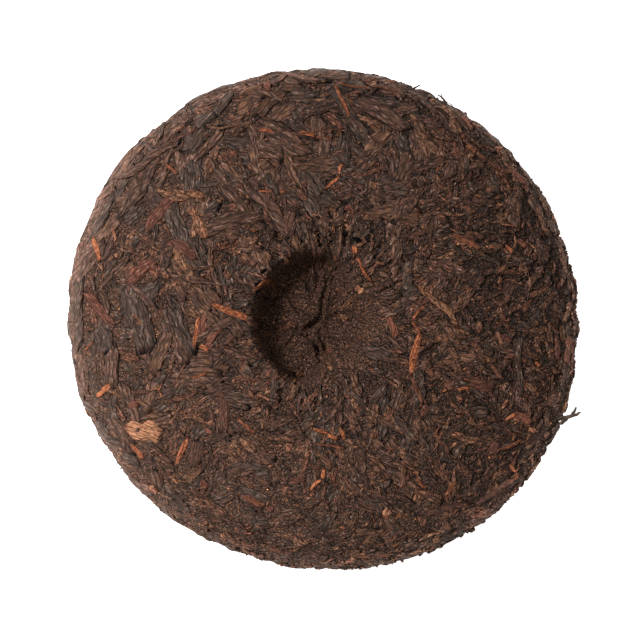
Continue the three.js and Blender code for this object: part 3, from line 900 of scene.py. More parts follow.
    def outlines(self, batch: Batch) -> tuple[Array, ...]:
        """Work out each piece's flat outline as a grid of stations along by points across.

        The half width swells from one tip to the other as sin(pi s)^0.6, each edge is torn by
        its own noise, and the middle line bends by bow * (1 - t^2) and an S. The section's
        shoulders lie the width of the bevel inside its edges.

        Args:
            batch: The pieces.

        Returns:
            Way along, way across, station from -1 to 1, point across from -1 to 1, and how far
            down the bevel each point is, from 0 to 1.
        """
        style = batch.style
        rng = self.rng
        shape = (batch.count, style.stations, len(style.across))
        t = np.linspace(-1.0, 1.0, style.stations)[None, :, None]
        half = batch.width[:, None, None] / 2.0
        drop = np.maximum(0.0, np.abs(style.across) - SHOULDER) / (1.0 - SHOULDER)
        bevel = np.clip(style.bevel / half, 0.12, 0.5)
        inner = np.minimum(np.abs(style.across), SHOULDER) / SHOULDER * (1.0 - bevel)
        c = np.sign(style.across) * (inner + bevel * drop)
        s = (t + 1.0) / 2.0
        ends = batch.tip_start[:, None, None] * (1 - s) + batch.tip_end[:, None, None] * s
        swell = ends + (1.0 - ends) * np.sin(np.pi * np.clip(s, 0.0, 1.0)) ** 0.6
        tear = batch.tear[:, None, None]
        torn = 1.0 + tear * rng.normal(0.0, 1.0, (batch.count, style.stations, 2))
        torn = np.clip(torn, 0.45, 1.6)
        edges = np.where(c < 0, torn[:, :, :1], torn[:, :, 1:])
        bend = batch.bow[:, None, None] * batch.length[:, None, None] * (1.0 - t * t)
        snake = 0.2 * tear * rng.normal(0.0, 1.0, tear.shape) * batch.length[:, None, None]
        across = half * swell * edges * c + bend + snake * np.sin(np.pi * t)
        ragged = 0.06 * rng.normal(0.0, 1.0, (batch.count, 1, len(style.across)))
        along = batch.length[:, None, None] / 2.0 * (t + ragged * np.abs(t) ** 3)
        stations = np.broadcast_to(t, shape)
        points = np.broadcast_to(c, shape)
        down = np.broadcast_to(drop, shape)
        return np.broadcast_to(along, shape).copy(), across, stations, points, down

    def onto_chart(self, batch: Batch, along: Array, across: Array) -> tuple[Array, Array]:
        """Turn each outline by its heading and widen it round the axis as the chart does.

        Args:
            batch: The pieces.
            along: Way along each piece.
            across: Way across each piece.

        Returns:
            Both chart coordinates.
        """
        turn = batch.heading[:, None, None]
        du = along * np.cos(turn) - across * np.sin(turn)
        dv = along * np.sin(turn) + across * np.cos(turn)
        away = np.hypot(batch.u, batch.v) + 1e-9
        out_u = (batch.u / away)[:, None, None]
        out_v = (batch.v / away)[:, None, None]
        centre = self.form.chart_point(batch.u, batch.v, self.side)
        real = np.hypot(centre[:, 0], centre[:, 1]) + 1e-9
        stretch = np.clip(away / real, 0.8, 3.0)[:, None, None]
        out = du * out_u + dv * out_v
        round_axis = (dv * out_u - du * out_v) * stretch
        u = batch.u[:, None, None] + out * out_u - round_axis * out_v
        v = batch.v[:, None, None] + out * out_v + round_axis * out_u
        return u, v

    def lay(self, batch: Batch) -> None:
        """Lay pieces on what is already there, and raise the relief map by them.

        Each piece follows the smoothed relief under it, since a leaf is a little stiff. Its
        section rises over the bevels from sunk edges to its thickness, with a ridge or two
        along it. It thins out at both ends.

        Args:
            batch: The pieces.
        """
        if batch.count == 0:
            return
        style = batch.style
        rng = self.rng
        along, across, t, c, down = self.outlines(batch)
        u, v = self.onto_chart(batch, along, across)
        bare = self.relief.sample(self.relief.heights, u, v)
        mean = bare.mean(axis=2, keepdims=True)
        soft = mean * self.stiffness + bare * (1.0 - self.stiffness)
        padded = np.pad(soft, ((0, 0), (1, 1), (0, 0)), mode="edge")
        soft = (padded[:, :-2] + 2.0 * padded[:, 1:-1] + padded[:, 2:]) / 4.0
        base = soft + 0.5 * np.maximum(0.0, bare - soft)
        thick = batch.thickness[:, None, None]
        rise = 1.0 - down
        domed = np.sqrt(np.maximum(0.0, 1.0 - c * c))
        body = (1.0 - style.roundness) * rise + style.roundness * domed
        phase = rng.uniform(0.0, 2 * np.pi, (batch.count, 1, 1))
        turns = rng.uniform(0.5, 1.5, (batch.count, 1, 1))
        ridges = 1.0 + style.ridge * np.sin(turns * np.pi * c + phase + 0.8 * t)
        ends = np.clip((1.0 - np.abs(t)) / 0.15, 0.0, 1.0)
        crumple = rng.normal(0.0, self.crumple, t.shape) * rise
        cup = batch.cup[:, None, None] * c * c * rise
        lift = batch.lift[:, None, None]
        cup = cup + np.abs(lift) * np.maximum(0.0, np.sign(lift) * t) ** 2
        body = body * (0.35 + 0.65 * ends)
        bulge = thick * ridges + crumple + cup + batch.crag[:, None, None]
        height = base - self.sunk + (self.sunk + bulge) * body
        shift = rng.uniform(0.0, 400.0, (batch.count, 1, 1))
        grain = np.stack(np.broadcast_arrays(along, across, shift), axis=-1)
        # This edge share darkens the sunk edges and tips with painted shade in the finish, and marks
        # where a few pieces' edges are worn redder.
        edge = np.maximum(down, 0.7 * np.abs(t) ** 6)
        self.laid[style.kind].append(LaidPieces(style, u, v, height, grain, edge, batch.tone))
        self.splat(style, u, v, height)

    def splat(self, style: PieceStyle, u: Array, v: Array, height: Array) -> None:
        """Raise the relief map under pieces, sampled finely between their points.

        Args:
            style: The kind's sizes and habits.
            u: First chart coordinate of the pieces' points.
            v: Second chart coordinate of the pieces' points.
            height: Height of the pieces' points.
        """
        rows, columns = style.samples
        along = between(style.stations, rows)
        across = between(len(style.across), columns)
        fine = [np.einsum("rm,nmk,sk->nrs", along, grid, across) for grid in (u, v, height)]
        self.relief.raise_to(*fine)

    def fill(self, marked: tuple[Marked, ...]) -> None:
        """Draw all kinds, and lay them in turns from the deepest to the uppermost.

        Args:
            marked: Pieces that are laid last, where they stand out.
        """
        drawn = [self.draw(style) for style in STYLES]
        for turn in range(self.turns):
            low, high = turn / self.turns, (turn + 1) / self.turns
            for batch in drawn:
                self.lay(batch.pick((batch.rank >= low) & (batch.rank < high)))
        for piece in marked:
            self.lay(self.marked_batch(piece))

    def marked_batch(self, piece: Marked) -> Batch:
        """Turn a marked piece into a batch of one.

        Args:
            piece: The marked piece.

        Returns:
            A batch that holds it.
        """
        style = next(style for style in STYLES if style.kind is piece.kind)
        share = min(1.0, math.hypot(piece.x, piece.y) / self.form.radius)
        ways, shares, _, _ = self.form.section
        top = ways <= self.form.rim_way
        away = float(np.interp(share, shares[top], ways[top]))
        bearing = math.atan2(piece.y, piece.x)
        values = {
            "u": away * math.cos(bearing),
            "v": away * math.sin(bearing),
            "heading": math.radians(piece.heading),
            "length": piece.length,
            "width": piece.width,
            "thickness": 1.2 * style.thickness[1],
            "tip_start": style.tip[0],
            "tip_end": style.tip[1],
            "bow": piece.bow,
            "cup": 0.1,
            "lift": 0.0,
            "crag": 0.0,
            "tear": (0.35 if piece.kind is Kind.STEM else 0.9) * style.tear,
            "tone": piece.tone,
            "rank": 1.0,
        }
        arrays = {name: np.array([value]) for name, value in values.items()}
        return Batch(style=style, **arrays)

    def pressed(self, pieces: LaidPieces, level: Array) -> Array:
        """Press laid pieces nearly level and put them on the skin.

        The height over the local mean level is kept below it, and bends over to a limit above
        it as limit * tanh(height / limit).

        Args:
            pieces: The laid pieces.
            level: The local mean level over the chart.

        Returns:
            Points, with X, Y and Z last.
        """
        over = pieces.height - self.relief.sample(level, pieces.u, pieces.v)
        share = np.hypot(pieces.u, pieces.v) / self.form.rim_way
        loose = smoothstep(share, *self.loose_shares)
        limit = self.proud + (self.rim_proud - self.proud) * loose
        flat = np.where(over > 0.0, limit * np.tanh(over / limit), self.keep * over)
        point, normal = self.form.chart_frame(pieces.u, pieces.v, self.side)
        place = self.bridged(point + normal * flat[..., None], normal)
        place[..., 2] = np.maximum(place[..., 2], 0.0)
        return place

    def bridged(self, place: Array, normal: Array) -> Array:
        """Raise the middle of a piece that would sag under the line between its edges.

        A dry leaf is stiff enough to bridge a narrow crease. With a share f of the way from
        edge a to edge b, a point p is raised at least to a + f (b - a) and the gap over it.

        Args:
            place: Points of the pieces.
            normal: The skin's normals at them.

        Returns:
            The points, moved along the normals where they sagged.
        """
        first, last = place[:, :, :1], place[:, :, -1:]
        span = last - first
        way = ((place - first) * span).sum(axis=-1, keepdims=True)
        way = np.clip(way / ((span * span).sum(axis=-1, keepdims=True) + 1e-9), 0.0, 1.0)
        sag = ((first + way * span - place) * normal).sum(axis=-1, keepdims=True)
        gap = self.bridge_gap * np.minimum(1.0, 8.0 * way * (1.0 - way))
        return place + normal * np.maximum(0.0, sag + gap)


def between(points: int, samples: int) -> Array:
    """Make the matrix that reads a row of points at evenly spaced samples, in straight lines.

    Args:
        points: How many points the row has.
        samples: How many samples are read.

    Returns:
        One row of weights for each sample.
    """
    place = np.linspace(0.0, points - 1.0, samples)
    low = np.minimum(place.astype(int), points - 2)
    weights = np.zeros((samples, points))
    weights[np.arange(samples), low] = 1.0 - (place - low)
    weights[np.arange(samples), low + 1] = place - low
    return weights


def make_mesh(
    name: str,
    points: Array,
    faces: NDArray[np.int64],
    attributes: dict[str, Array],
) -> bpy.types.Object:
    """Put points and faces in metres into a new object, with its named attributes.

    Args:
        name: Name of the object.
        points: Points in millimetres, one row each.
        faces: Corner numbers, one row for each face.
        attributes: Numbers or vectors for each point, by name.

    Returns:
        The object, linked to the scene.
    """
    mesh = bpy.data.meshes.new(name)
    mesh.from_pydata(points * METRE, [], faces)
    mesh.update()
    for label, values in attributes.items():
        kind, key = ("FLOAT", "value") if values.ndim == 1 else ("FLOAT_VECTOR", "vector")
        layer = mesh.attributes.new(label, kind, "POINT")
        layer.data.foreach_set(key, np.ascontiguousarray(values, dtype=np.float32).ravel())
    mesh.shade_smooth()
    piece = bpy.data.objects.new(name, mesh)
    bpy.context.scene.collection.objects.link(piece)
    return piece


def strip_faces(rows: int, ring: int) -> NDArray[np.int64]:
    """List the faces of a piece made of rings of points: strips between rings, and two ends.

    Args:
        rows: How many rings there are.
        ring: How many points a ring has, 4 or 6.

    Returns:
        Corner numbers, four for each face.
    """
    i, j = np.meshgrid(np.arange(rows - 1), np.arange(ring), indexing="ij")
    ahead = (j + 1) % ring
    strips = np.stack(
        [i * ring + j, (i + 1) * ring + j, (i + 1) * ring + ahead, i * ring + ahead], axis=-1
    ).reshape(-1, 4)
    start = np.array([[0, 1, 2, 5], [2, 3, 4, 5]] if ring == 6 else [[0, 1, 2, 3]])
    end = start[:, ::-1] + (rows - 1) * ring
    return np.concatenate([strips, start, end])


def many_faces(each: NDArray[np.int64], points: int, count: int) -> NDArray[np.int64]:
    """Repeat one piece's faces for many pieces that follow each other in one mesh."""
    starts = np.arange(count)[:, None, None] * points
    return (each[None] + starts).reshape(-1, 4)


@dataclass
class PressedTea:
    """The leaves, stems and crumbs of both faces, joined into one mesh for each kind."""

    form: CakeForm
    seed: int = 357

    def build(self) -> dict[Kind, bpy.types.Object]:
        """Lay and press both faces, and mesh each kind.

        Returns:
            The mesh objects by kind.
        """
        layers = [TeaLayer(self.form, Side.TOP, self.seed)]
        layers.append(TeaLayer(self.form, Side.UNDER, self.seed + 1))
        gathered: dict[Kind, list[tuple[LaidPieces, Array]]] = {kind: [] for kind in Kind}
        for layer in layers:
            layer.fill(MARKED if layer.side is Side.TOP else ())
            level = layer.relief.blurred(layer.relief.heights, layer.press_width)
            for kind, laid in layer.laid.items():
                gathered[kind] += [(pieces, layer.pressed(pieces, level)) for pieces in laid]
        return {kind: self.join(kind, entries) for kind, entries in gathered.items()}

    def join(self, kind: Kind, entries: list[tuple[LaidPieces, Array]]) -> bpy.types.Object:
        """Join all pieces of one kind into one mesh.

        Args:
            kind: The kind.
            entries: Laid pieces and their pressed points.

        Returns:
            The mesh object.
        """
        style = entries[0][0].style
        points = np.concatenate([place.reshape(-1, 3) for _, place in entries])
        grain = np.concatenate([pieces.grain.reshape(-1, 3) for pieces, _ in entries])
        edge = np.concatenate([pieces.edge.ravel() for pieces, _ in entries])
        each = style.stations * len(style.across)
        tone = np.concatenate([np.repeat(pieces.tone, each) for pieces, _ in entries])
        total = len(points) // each
        faces = many_faces(strip_faces(style.stations, len(style.across)), each, total)
        # Painted light and shade at each point: glare on the rim, light to the lower left, shade in
        # the hollow.
        painted_light = self.form.painted_light_share(points)
        attributes = {"grain": grain, "edge": edge, "tone": tone, "painted_light": painted_light}
        piece = make_mesh(kind.value, points, faces, attributes)
        LOG.info("%s: %d pieces, %d triangles", kind.value, total, 2 * len(faces))
        return piece


@dataclass
class TeaBed:
    """Fine broken tea that is pressed solid round the pieces: a closed, wrinkled skin.

    It lies a little lower than the pieces, but comes up to them in the hollow, where the knot
    kneaded it, and in patches on the lower left.
    """

    form: CakeForm
    segments: int = 430
    rings: int = 212
    sunk: float = 0.42
    lumps: float = 0.16
    rim_lumps: float = 0.5
    patch: float = 0.14
    patch_bearing: float = 215.0
    close_reach: float = 40.0
    seed: int = 91

    def ring_ways(self) -> Array:
        """Space the rings: close round the hollow, and wide apart underneath.

        Returns:
            The way along the skin to each ring.
        """
        way = np.linspace(0.0, self.form.whole_way, 4000)
        closeness = np.where(way < self.close_reach, 2.0, 1.0)
        closeness = np.where(way < self.form.rim_way + 5.0, closeness, 0.55)
        total = np.cumsum(closeness)
        return np.interp(np.linspace(total[0], total[-1], self.rings + 2)[1:-1], total, way)

    def sinking(self, points: Array) -> Array:
        """Work out how far the bed lies under the skin, from slow waves and from the place.

        Args:
            points: Points of the skin, with X, Y and Z last.

        Returns:
            The depth at each point.
        """
        x, y, z = points[..., 0], points[..., 1], points[..., 2]
        waves = np.sin(x / 4.1 + 1.7 * np.sin(y / 6.3)) * np.sin(y / 4.7 + 1.3 * np.sin(x / 5.6))
        lean = np.cos(np.arctan2(y, x) - math.radians(self.patch_bearing))
        lean = lean * smoothstep(np.hypot(x, y), 30.0, 80.0)
        depth = self.sunk - self.patch * (waves + lean)
        dented = smoothstep(self.form.hollow(x, y), 0.5, 6.0)
        return np.where(z > self.form.rest_height, depth * (1.0 - dented), self.sunk)

    def build(self) -> bpy.types.Object:
        """Make the skin as rings from the middle of the top to the middle underneath.

        Each point is the skin's, moved in along its normal by the sunk depth and a random lump.

        Returns:
            The mesh object.
        """
        rng = np.random.default_rng(self.seed)
        bearing = np.linspace(0.0, 2 * np.pi, self.segments, endpoint=False)
        ways, bearings = np.meshgrid(self.ring_ways(), bearing, indexing="ij")
        step = 0.3
        ahead = self.form.skin(bearings, ways + step) - self.form.skin(bearings, ways - step)
        turn = 0.005
        left = self.form.skin(bearings + turn, ways) - self.form.skin(bearings - turn, ways)
        normal = np.cross(ahead, left)
        normal /= np.linalg.norm(normal, axis=-1, keepdims=True) + 1e-12
        skin = self.form.skin(bearings, ways)
        rim = smoothstep(np.hypot(skin[..., 0], skin[..., 1]) / self.form.radius, 0.9, 0.98)
        lumps = self.lumps + (self.rim_lumps - self.lumps) * rim
        inward = self.sinking(skin) + lumps * rng.uniform(-1.0, 1.0, ways.shape)
        points = skin - normal * inward[..., None]
        points[..., 2] = np.maximum(points[..., 2], 0.0)
        poles = self.form.skin(np.zeros(2), np.array([0.0, self.form.whole_way]))
        everything = np.concatenate([points.reshape(-1, 3), poles])
        count = len(everything)
        attributes = {
            "grain": everything,
            # The bed's edge share is painted shade, darker where the bed lies deep between the pieces.
            "edge": 0.25 + 0.45 * smoothstep(self.sinking(everything), 0.25, 0.6),
            "tone": rng.random(count),
            # Painted light and shade, as on the pieces.
            "painted_light": self.form.painted_light_share(everything),
        }
        faces = self.faces()
        LOG.info("tea_bed: %d triangles", len(faces))
        return make_mesh("tea_bed", everything, faces, attributes)

    def faces(self) -> NDArray[np.int64]:
        """List the triangles between the rings, and the fans at both middles.

        Returns:
            Corner numbers, three for each face.
        """
        i, j = np.meshgrid(np.arange(self.rings - 1), np.arange(self.segments), indexing="ij")
        near, far = i * self.segments, (i + 1) * self.segments
        ahead = (j + 1) % self.segments
        strips = np.stack([near + j, far + j, far + ahead, near + ahead], axis=-1).reshape(-1, 4)
        around = np.arange(self.segments)
        following = (around + 1) % self.segments
        last = (self.rings - 1) * self.segments
        pole = np.full(self.segments, self.rings * self.segments)
        fans = [
            np.stack([pole, around, following], axis=-1),
            np.stack([pole + 1, last + following, last + around], axis=-1),
        ]
        return np.concatenate([strips[:, [0, 1, 2]], strips[:, [0, 2, 3]], *fans])


@dataclass(frozen=True)
class Shred:
    """A thin shred that sticks out of the rim: points along it, its greatest width and tone."""

    path: tuple[tuple[float, float, float], ...]
    width: float
    tone: float


SHREDS: tuple[Shred, ...] = (
    Shred(((44.2, 87.1, 15.0), (46.9, 84.4, 15.5), (48.6, 82.6, 14.5)), 0.9, 0.1),
    Shred(((45.0, 87.6, 16.5), (46.6, 84.6, 15.5), (48.0, 81.0, 14.0)), 0.5, 0.2),
    Shred(
        ((47.4, 84.0, 15.0), (50.4, 82.1, 16.0), (54.6, 79.4, 15.0), (55.4, 77.0, 13.5)), 0.45, 0.3
    ),
    Shred(((30.8, 88.6, 19.0), (34.3, 88.4, 18.5), (38.2, 90.2, 18.0)), 0.8, 0.1),
    Shred(((36.4, 87.0, 18.0), (38.6, 86.0, 17.5), (40.4, 86.6, 15.5)), 0.6, 0.1),
    Shred(
        ((86.0, -40.2, 14.0), (91.4, -39.0, 15.0), (96.4, -37.7, 16.0), (99.1, -36.7, 16.5)), 1.5, 0.05
    ),
    Shred(((94.6, -38.4, 15.6), (96.6, -36.4, 16.2), (97.3, -34.6, 17.0)), 1.0, 0.05),
    Shred(((90.9, -41.4, 14.0), (92.6, -39.8, 15.0), (94.4, -38.0, 15.6)), 1.8, 0.05),
    Shred(((70.0, -67.0, 13.0), (71.8, -68.0, 13.5), (73.4, -68.6, 13.0)), 1.2, 0.1),
    Shred(((-80.6, 54.6, 13.5), (-82.9, 52.6, 14.5), (-85.5, 49.3, 14.0)), 2.2, 0.15),
    Shred(((-95.4, -2.0, 12.5), (-97.4, 0.0, 13.5), (-99.0, 1.6, 13.0)), 1.6, 0.2),
    Shred(((-69.4, -63.6, 12.5), (-71.4, -64.0, 13.5), (-73.2, -64.0, 13.0)), 1.1, 0.2),
)


@dataclass
class LooseShreds:
    """The shreds at the rim, joined into one mesh of flat tubes that taper at both ends."""

    form: CakeForm
    stations: int = 10
    ring: int = 6
    flatness: float = 0.5
    kink: float = 0.12
    seed: int = 23

    def build(self) -> bpy.types.Object:
        """Sweep a flattened six-sided section along each path, with a small random kink.

        Returns:
            The mesh object.
        """
        rng = np.random.default_rng(self.seed)
        swept = [self.sweep(shred, rng) for shred in SHREDS]
        points = np.concatenate([place.reshape(-1, 3) for place, _ in swept])
        grain = np.concatenate([grain.reshape(-1, 3) for _, grain in swept])
        each = self.stations * self.ring
        tones = np.repeat(np.array([shred.tone for shred in SHREDS]), each)
        attributes = {
            "grain": grain,
            "edge": np.zeros(len(points)),
            "tone": tones,
            # Painted light and shade, as on the pieces.
            "painted_light": self.form.painted_light_share(points),
        }
        faces = many_faces(strip_faces(self.stations, self.ring), each, len(SHREDS))
        LOG.info("loose_shreds: %d shreds, %d triangles", len(SHREDS), 2 * len(faces))
        return make_mesh("loose_shreds", points, faces, attributes)

    def sweep(self, shred: Shred, rng: np.random.Generator) -> tuple[Array, Array]:
        """Sweep one shred.

        The half width is width / 2 * sin(pi s)^0.5, never under a fifth of it, at share s.

        Args:
            shred: The shred.
            rng: The source of the kinks.

        Returns:
            Its points, ring by ring, and their places in its own frame.
        """
        corners = np.array(shred.path)
        share = np.linspace(0.0, 1.0, self.stations)
        knots = np.linspace(0.0, 1.0, len(corners))
        middle = np.stack([np.interp(share, knots, corners[:, k]) for k in range(3)], axis=-1)
        middle += rng.normal(0.0, self.kink, middle.shape)
        ahead = np.gradient(middle, axis=0)
        ahead /= np.linalg.norm(ahead, axis=1, keepdims=True)
        aside = np.cross(np.array([0.0, 0.0, 1.0]), ahead)
        aside /= np.linalg.norm(aside, axis=1, keepdims=True)
        up = np.cross(ahead, aside)
        half = shred.width / 2.0 * np.maximum(0.2, np.sin(np.pi * share) ** 0.5)
        turn = np.linspace(0.0, 2.0 * np.pi, self.ring, endpoint=False)
        across = -half[:, None] * np.cos(turn)
        over = half[:, None] * self.flatness * np.sin(turn)
        points = middle[:, None] + across[..., None] * aside[:, None] + over[..., None] * up[:, None]
        length = np.linalg.norm(corners[-1] - corners[0])
        along = np.broadcast_to(share[:, None] * length, across.shape)
        return points, np.stack([along, across, over], axis=-1)


def linear(code: str) -> tuple[float, float, float, float]:
    """Turn an sRGB hex code into the linear colour that a shader needs.

    Args:
        code: The code, such as "#4b362c".

    Returns:
        Red, green, blue and an alpha of 1.
    """
    channels = [int(code[i : i + 2], 16) / 255.0 for i in (1, 3, 5)]
    values = [c / 12.92 if c <= 0.04045 else ((c + 0.055) / 1.055) ** 2.4 for c in channels]
    return values[0], values[1], values[2], 1.0


Link = bpy.types.NodeSocket | float | int | tuple


def add_node(
    tree: bpy.types.NodeTree,
    kind: str,
    inputs: dict[str | int, Link] | None = None,
    **settings: object,
) -> bpy.types.Node:
    """Add a node with its settings, its input values and its links.

    Args:
        tree: The material's node tree.
        kind: Blender's name of the node's type.
        inputs: A value or another node's output for each input, by name or number.
        **settings: Properties of the node.

    Returns:
        The node.
    """
    node = tree.nodes.new(kind)
    for name, value in settings.items():
        setattr(node, name, value)
    for key, value in (inputs or {}).items():
        if isinstance(value, bpy.types.NodeSocket):
            tree.links.new(value, node.inputs[key])
        else:
            node.inputs[key].default_value = value
    return node


def ramp(node: bpy.types.Node, stops: dict[float, str]) -> bpy.types.Node:
    """Set a colour ramp's stops from sRGB hex codes.

    Args:
        node: The colour ramp node.
        stops: Hex codes by place from 0 to 1, lowest first.

    Returns:
        The same node.
    """
    elements = node.color_ramp.elements
    while len(elements) < len(stops):
        elements.new(0.5)
    for element, (place, code) in zip(elements, stops.items(), strict=True):
        element.position = place
        element.color = linear(code)
    return node


@dataclass(frozen=True)
class WiltedLeafFinish:
    """Fermented tea leaf, steamed, pressed and dried: brown skin that shrinks into fine wrinkles.

    The wrinkles' crests carry painted pale glints and their valleys painted shade that is nearly
    black, so the eye gets a dark brown full of pale hairlines. Each leaf has its own depth of brown,
    and the edges of the pieces with the highest tones are worn redder. Painted light, tinged pinkish
    grey, lies on the rim and towards the lower left, and painted shade in the hollow and on the
    pieces' sunk edges.
    """

    name: str
    tones: dict[float, str]
    rubbed: str
    # The pale pinkish grey of painted glare and glints, its share of the painted light, and the
    # painted glints on the wrinkles' crests.
    painted_glare: str = "#a28779"
    painted_glare_share: float = 0.32
    contrast: float = 1.0
    painted_glint: float = 0.58
    sheen: float = 0.16
    fibre_mm: float = 0.42
    fibre_stretch: float = 7.0
    wrinkle_mm: float = 0.62
    wrinkle_stretch: float = 2.4
    bend_mm: float = 5.0
    mottle_mm: float = 4.0
    mottle_swing: float = 1.0
    crease_mm: float = 1.5
    crease_stretch: float = 5.0
    crease_shade: float = 0.6
    depths_mm: tuple[float, float, float] = (0.6, 0.45, 0.35)
    roughness: tuple[float, float] = (0.72, 0.4)

    def build(self) -> bpy.types.Material:
        """Build the leaf material from the pieces' grain, edge, tone and painted light attributes.

        Returns:
            The material.
        """
        material = bpy.data.materials.new(self.name)
        material.use_nodes = True
        tree = material.node_tree
        tree.nodes.clear()
        # The fourth attribute carries the painted light and shade of the face.
        grain, edge, tone, painted_light = (
            add_node(tree, "ShaderNodeAttribute", attribute_name=name).outputs
            for name in ("grain", "edge", "tone", "painted_light")
        )
        place = add_node(tree, "ShaderNodeTexCoord").outputs["Object"]
        fibre, wrinkle, mottle, crease = self.patterns(tree, grain["Vector"], place)

        # Each row: a source, the span of it that counts, and the shade at either end.
        shades = (
            # Painted light on the fibres' and wrinkles' crests, painted shade in their valleys.
            (fibre, 0.32, 0.68, 1.0 - 0.65 * self.contrast, 1.0 + 0.75 * self.contrast),
            (wrinkle, 0.35, 0.65, 1.0 - 0.6 * self.contrast, 1.0 + 0.75 * self.contrast),
            # Painted shade in the creases.
            (crease, 0.0, 1.0, self.crease_shade, 1.0),
            # Painted shade on the sunk edges and tips.
            (edge["Fac"], 0.2, 0.9, 1.0, 0.04),
            # Painted light on the rim and the lower left, painted shade in the hollow.
            (painted_light["Fac"], 0.0, 1.0, 0.68, 1.36),
        )
        shade = None
        for source, low, high, start, end in shades:
            factor = add_node(
                tree, "ShaderNodeMapRange", {"Value": source, 1: low, 2: high, 3: start, 4: end}
            ).outputs["Result"]
            if shade is not None:
                factor = add_node(
                    tree, "ShaderNodeMath", {0: shade, 1: factor}, operation="MULTIPLY"
                ).outputs[0]
            shade = factor

        swing = add_node(
            tree,
            "ShaderNodeMath",
            {0: mottle, 1: self.mottle_swing, 2: -self.mottle_swing / 2.0},
            operation="MULTIPLY_ADD",
        ).outputs[0]
        depth = add_node(
            tree, "ShaderNodeMath", {0: swing, 1: tone["Fac"]}, operation="ADD", use_clamp=True
        ).outputs[0]
        brown = ramp(add_node(tree, "ShaderNodeValToRGB", {"Fac": depth}), self.tones)
        chosen = add_node(
            tree, "ShaderNodeMapRange", {"Value": tone["Fac"], 1: 0.86, 2: 0.96}
        ).outputs["Result"]
        worn = add_node(
            tree, "ShaderNodeMath", {0: edge["Fac"], 1: chosen}, operation="MULTIPLY"
        ).outputs[0]
        rubbed = add_node(
            tree,
            "ShaderNodeMix",
            {0: worn, 6: brown.outputs["Color"], 7: linear(self.rubbed)},
            data_type="RGBA",
        ).outputs[2]
        shaded = add_node(
            tree, "ShaderNodeVectorMath", {0: rubbed, "Scale": shade}, operation="SCALE"
        ).outputs["Vector"]
        # Painted glare: a share of the painted light, on the wrinkles' crests.
        painted_glare_amount = add_node(
            tree,
            "ShaderNodeMath",
            {0: painted_light["Fac"], 1: self.painted_glare_share},
            operation="MULTIPLY",
        ).outputs[0]
        # Painted glints on the highest wrinkles.
        painted_glint_share = add_node(
            tree, "ShaderNodeMapRange", {"Value": wrinkle, 1: 0.62, 2: 0.76, 3: 0.0, 4: self.painted_glint}
        ).outputs["Result"]
        painted_crest_light = add_node(
            tree, "ShaderNodeMath", {0: painted_glare_amount, 1: wrinkle, 2: painted_glint_share}, operation="MULTIPLY_ADD"
        ).outputs[0]
        # The colour goes pale pinkish grey where painted glare and glints lie.
        colour = add_node(
            tree,
            "ShaderNodeMix",
            {0: painted_crest_light, 6: shaded, 7: linear(self.painted_glare)},
            data_type="RGBA",
        ).outputs[2]

        height = None
        for source, depth_mm in zip((wrinkle, fibre, crease), self.depths_mm, strict=True):
            inputs = {0: source, 1: depth_mm, 2: 0.0 if height is None else height}
            height = add_node(
                tree, "ShaderNodeMath", inputs, operation="MULTIPLY_ADD"
            ).outputs[0]
        creased = add_node(tree, "ShaderNodeBump", {"Height": height, "Distance": METRE})
        gloss = add_node(
            tree,
            "ShaderNodeMapRange",
            {"Value": wrinkle, 1: 0.45, 2: 0.65, 3: self.roughness[0], 4: self.roughness[1]},
        )
        shader = add_node(
            tree,
            "ShaderNodeBsdfPrincipled",
            {
                "Base Color": colour,
                "Roughness": gloss.outputs["Result"],
                "IOR": 1.45,
                "Specular IOR Level": self.sheen,
                "Normal": creased.outputs["Normal"],
            },
        )
        add_node(tree, "ShaderNodeOutputMaterial", {"Surface": shader.outputs["BSDF"]})
        return material

    def patterns(
        self, tree: bpy.types.NodeTree, grain: bpy.types.NodeSocket, place: bpy.types.NodeSocket
    ) -> tuple[bpy.types.NodeSocket, ...]:
        """Add the patterns: fibres and wrinkles along the grain, mottling and creases.

        The grain is first pushed aside by a slow noise, so that its lines bend. The creases are
        the walls of long cells along the grain, found by the distance to the nearest wall.

        Args:
            tree: The node tree.
            grain: Place in the piece's own frame, in millimetres.
            place: Place in the object, in metres.

        Returns:
            The fibre, wrinkle, mottle and crease values.
        """
        slow = add_node(
            tree, "ShaderNodeTexNoise", {"Vector": grain, "Scale": 1.0 / self.bend_mm, "Detail": 1.0}
        )
        push = self.bend_mm * 0.6
        bent = add_node(
            tree,
            "ShaderNodeVectorMath",
            {0: slow.outputs["Color"], 1: (push, push, 0.0), 2: grain},
            operation="MULTIPLY_ADD",
        ).outputs["Vector"]
        fibre, wrinkle = (
            self.strokes(tree, bent, width, stretch)
            for width, stretch in (
                (self.fibre_mm, self.fibre_stretch),
                (self.wrinkle_mm, self.wrinkle_stretch),
            )
        )
        mottling = add_node(
            tree,
            "ShaderNodeTexNoise",
            {
                "Vector": place,
                "Scale": 1.0 / (self.mottle_mm * METRE),
                "Detail": 3.0,
                "Roughness": 0.62,
            },
        )
        width, stretch = self.crease_mm, self.crease_stretch
        scale = (1.0 / (width * stretch), 1.0 / width, 1.0 / width)
        mapped = add_node(tree, "ShaderNodeMapping", {"Vector": bent, "Scale": scale})
        cells = add_node(
            tree,
            "ShaderNodeTexVoronoi",
            {"Vector": mapped.outputs["Vector"], "Scale": 1.0},
            feature="DISTANCE_TO_EDGE",
        )
        wall = add_node(
            tree, "ShaderNodeMapRange", {"Value": cells.outputs["Distance"], 1: 0.0, 2: 0.12}
        )
        return fibre, wrinkle, mottling.outputs["Fac"], wall.outputs["Result"]

